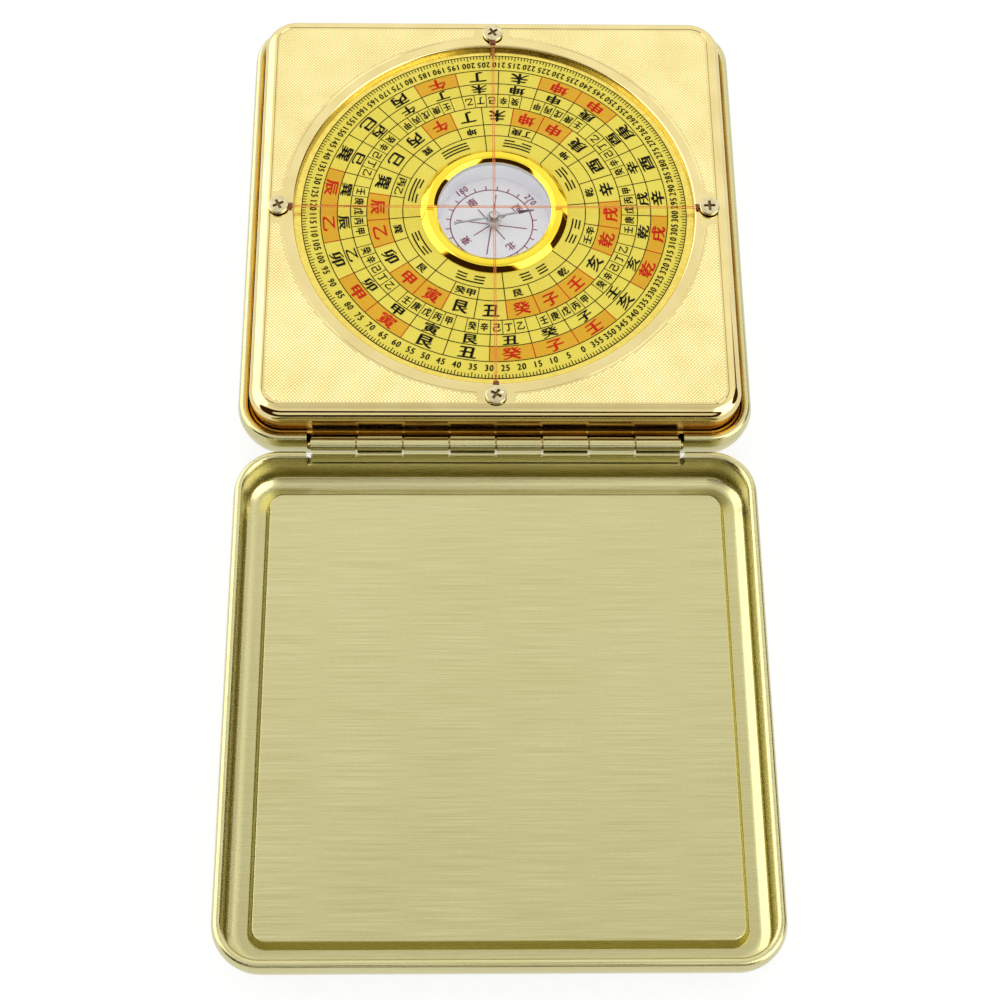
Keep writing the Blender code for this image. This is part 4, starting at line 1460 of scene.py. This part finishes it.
def make_studio():
    """A white light tent, brightest low down. Metal mirrors its dark opening and the strips beside it."""
    world = bpy.data.worlds.new("light_tent")
    bpy.context.scene.world = world
    world.use_nodes = True
    tree = world.node_tree
    direction = add_node(tree, "ShaderNodeTexCoord").outputs["Generated"]
    parts = add_node(tree, "ShaderNodeSeparateXYZ", {0: direction}).outputs
    toward = add_node(tree, MATH, {0: parts[1], 1: -1.0}, operation="MULTIPLY")
    azimuth = add_node(tree, MATH, {0: parts[0], 1: toward}, operation="ARCTAN2")
    elevation = add_node(tree, MATH, {0: parts[2]}, operation="ARCSINE")
    plain = light = tent_light_level(tree, parts[2])
    tint = (1, 1, 1, 1)
    for azimuths, elevations, level in TENT_ZONES:
        offsets = {0: off_middle(tree, azimuth, azimuths), 1: off_middle(tree, elevation, elevations)}
        reach = add_node(tree, MATH, offsets, operation="ADD")
        edges = {"Value": reach, "From Min": 1 + zone_softness, "From Max": 1 - zone_softness}
        share = add_node(tree, "ShaderNodeMapRange", edges, interpolation_type="SMOOTHSTEP")
        light = add_node(tree, "ShaderNodeMix", {0: share, 2: light, 3: level})
        tint = blend_colours(tree, share, tint, shade_tint if level < 1 else "FFFFFF")
    path = add_node(tree, "ShaderNodeLightPath").outputs
    mirrored = path["Is Glossy Ray"]
    soft = add_node(tree, MATH, {0: plain, 1: matt_share}, operation="MULTIPLY")
    lit = add_node(tree, "ShaderNodeMix", {0: mirrored, 2: soft, 3: light})
    rays = {0: path["Is Camera Ray"], 1: path["Is Transmission Ray"]}
    seen = add_node(tree, MATH, rays, operation="MAXIMUM")
    strength = add_node(tree, "ShaderNodeMix", {0: seen, 2: lit, 3: 1.0})
    colour = blend_colours(tree, mirrored, "FFFFFF", tint)
    feed(tree.nodes["Background"], {"Color": colour, "Strength": strength})
    world.cycles.sampling_method = "NONE"


def make_lamp(name, place, target, size, power):
    """A soft square lamp that faces a point and leaves no highlight of its own."""
    data = bpy.data.lights.new(name, "AREA")
    data.shape = "SQUARE"
    data.size = size
    data.energy = power
    lamp = linked(name, data)
    lamp.location = place
    lamp.rotation_euler = (Vector(target) - Vector(place)).to_track_quat("-Z", "Y").to_euler()
    lamp.visible_glossy = False


def make_camera():
    """The camera at the reference view."""
    data = bpy.data.cameras.new("camera")
    data.lens = camera_lens
    data.shift_x, data.shift_y = camera_shift
    data.clip_start = camera_clip
    camera = linked("camera", data)
    turns = ((-camera_yaw, "Z"), (math.pi / 2 - camera_pitch, "X"), (-camera_roll, "Z"))
    matrix = Matrix.Translation((camera_x, camera_y, camera_z))
    for angle, axis in turns:
        matrix = matrix @ Matrix.Rotation(angle, 4, axis)
    camera.matrix_world = matrix
    bpy.context.scene.camera = camera


def main():
    """Build every piece, light it and set the camera."""
    materials = make_materials()
    make_shell("case_stamping", "base_shell", "base", case_y, 0, materials)
    make_shell("lid_stamping", "lid_shell", "lid", lid_y, math.pi, materials)
    make_leaf("case_knuckles", "base_hinge_leaf", "base", 0, materials)
    make_leaf("lid_knuckles", "lid_hinge_leaf", "lid", math.pi, materials)
    for make in (make_hinge_pin, make_face_plate, make_opening_collar, make_knurl, make_arc_lines):
        make(materials)
    for turn, side in enumerate(DIRECTIONS):
        make_screw(side, screw_turn + turn, materials)
    make_thread("thread_lower", "crosshair_thread_east_west", 0, 0, materials)
    make_thread("thread_upper", "crosshair_thread_north_south", math.pi / 2, thread_lift, materials)
    for make in (make_dial_base, make_dial_ground, make_dial_cells, make_dial_lines, make_dial_characters):
        make(materials)
    for make in (make_cup, make_capsule_ring, make_window, make_card, make_needle, make_hub):
        make(materials)
    paint_inner_parts(materials)
    make_floor()
    make_studio()
    make_lamp("soft_overhead", overhead_place, (0, 0, 0), overhead_size, overhead_power)
    make_camera()
    bpy.context.scene.view_settings.view_transform = "Standard"


main()
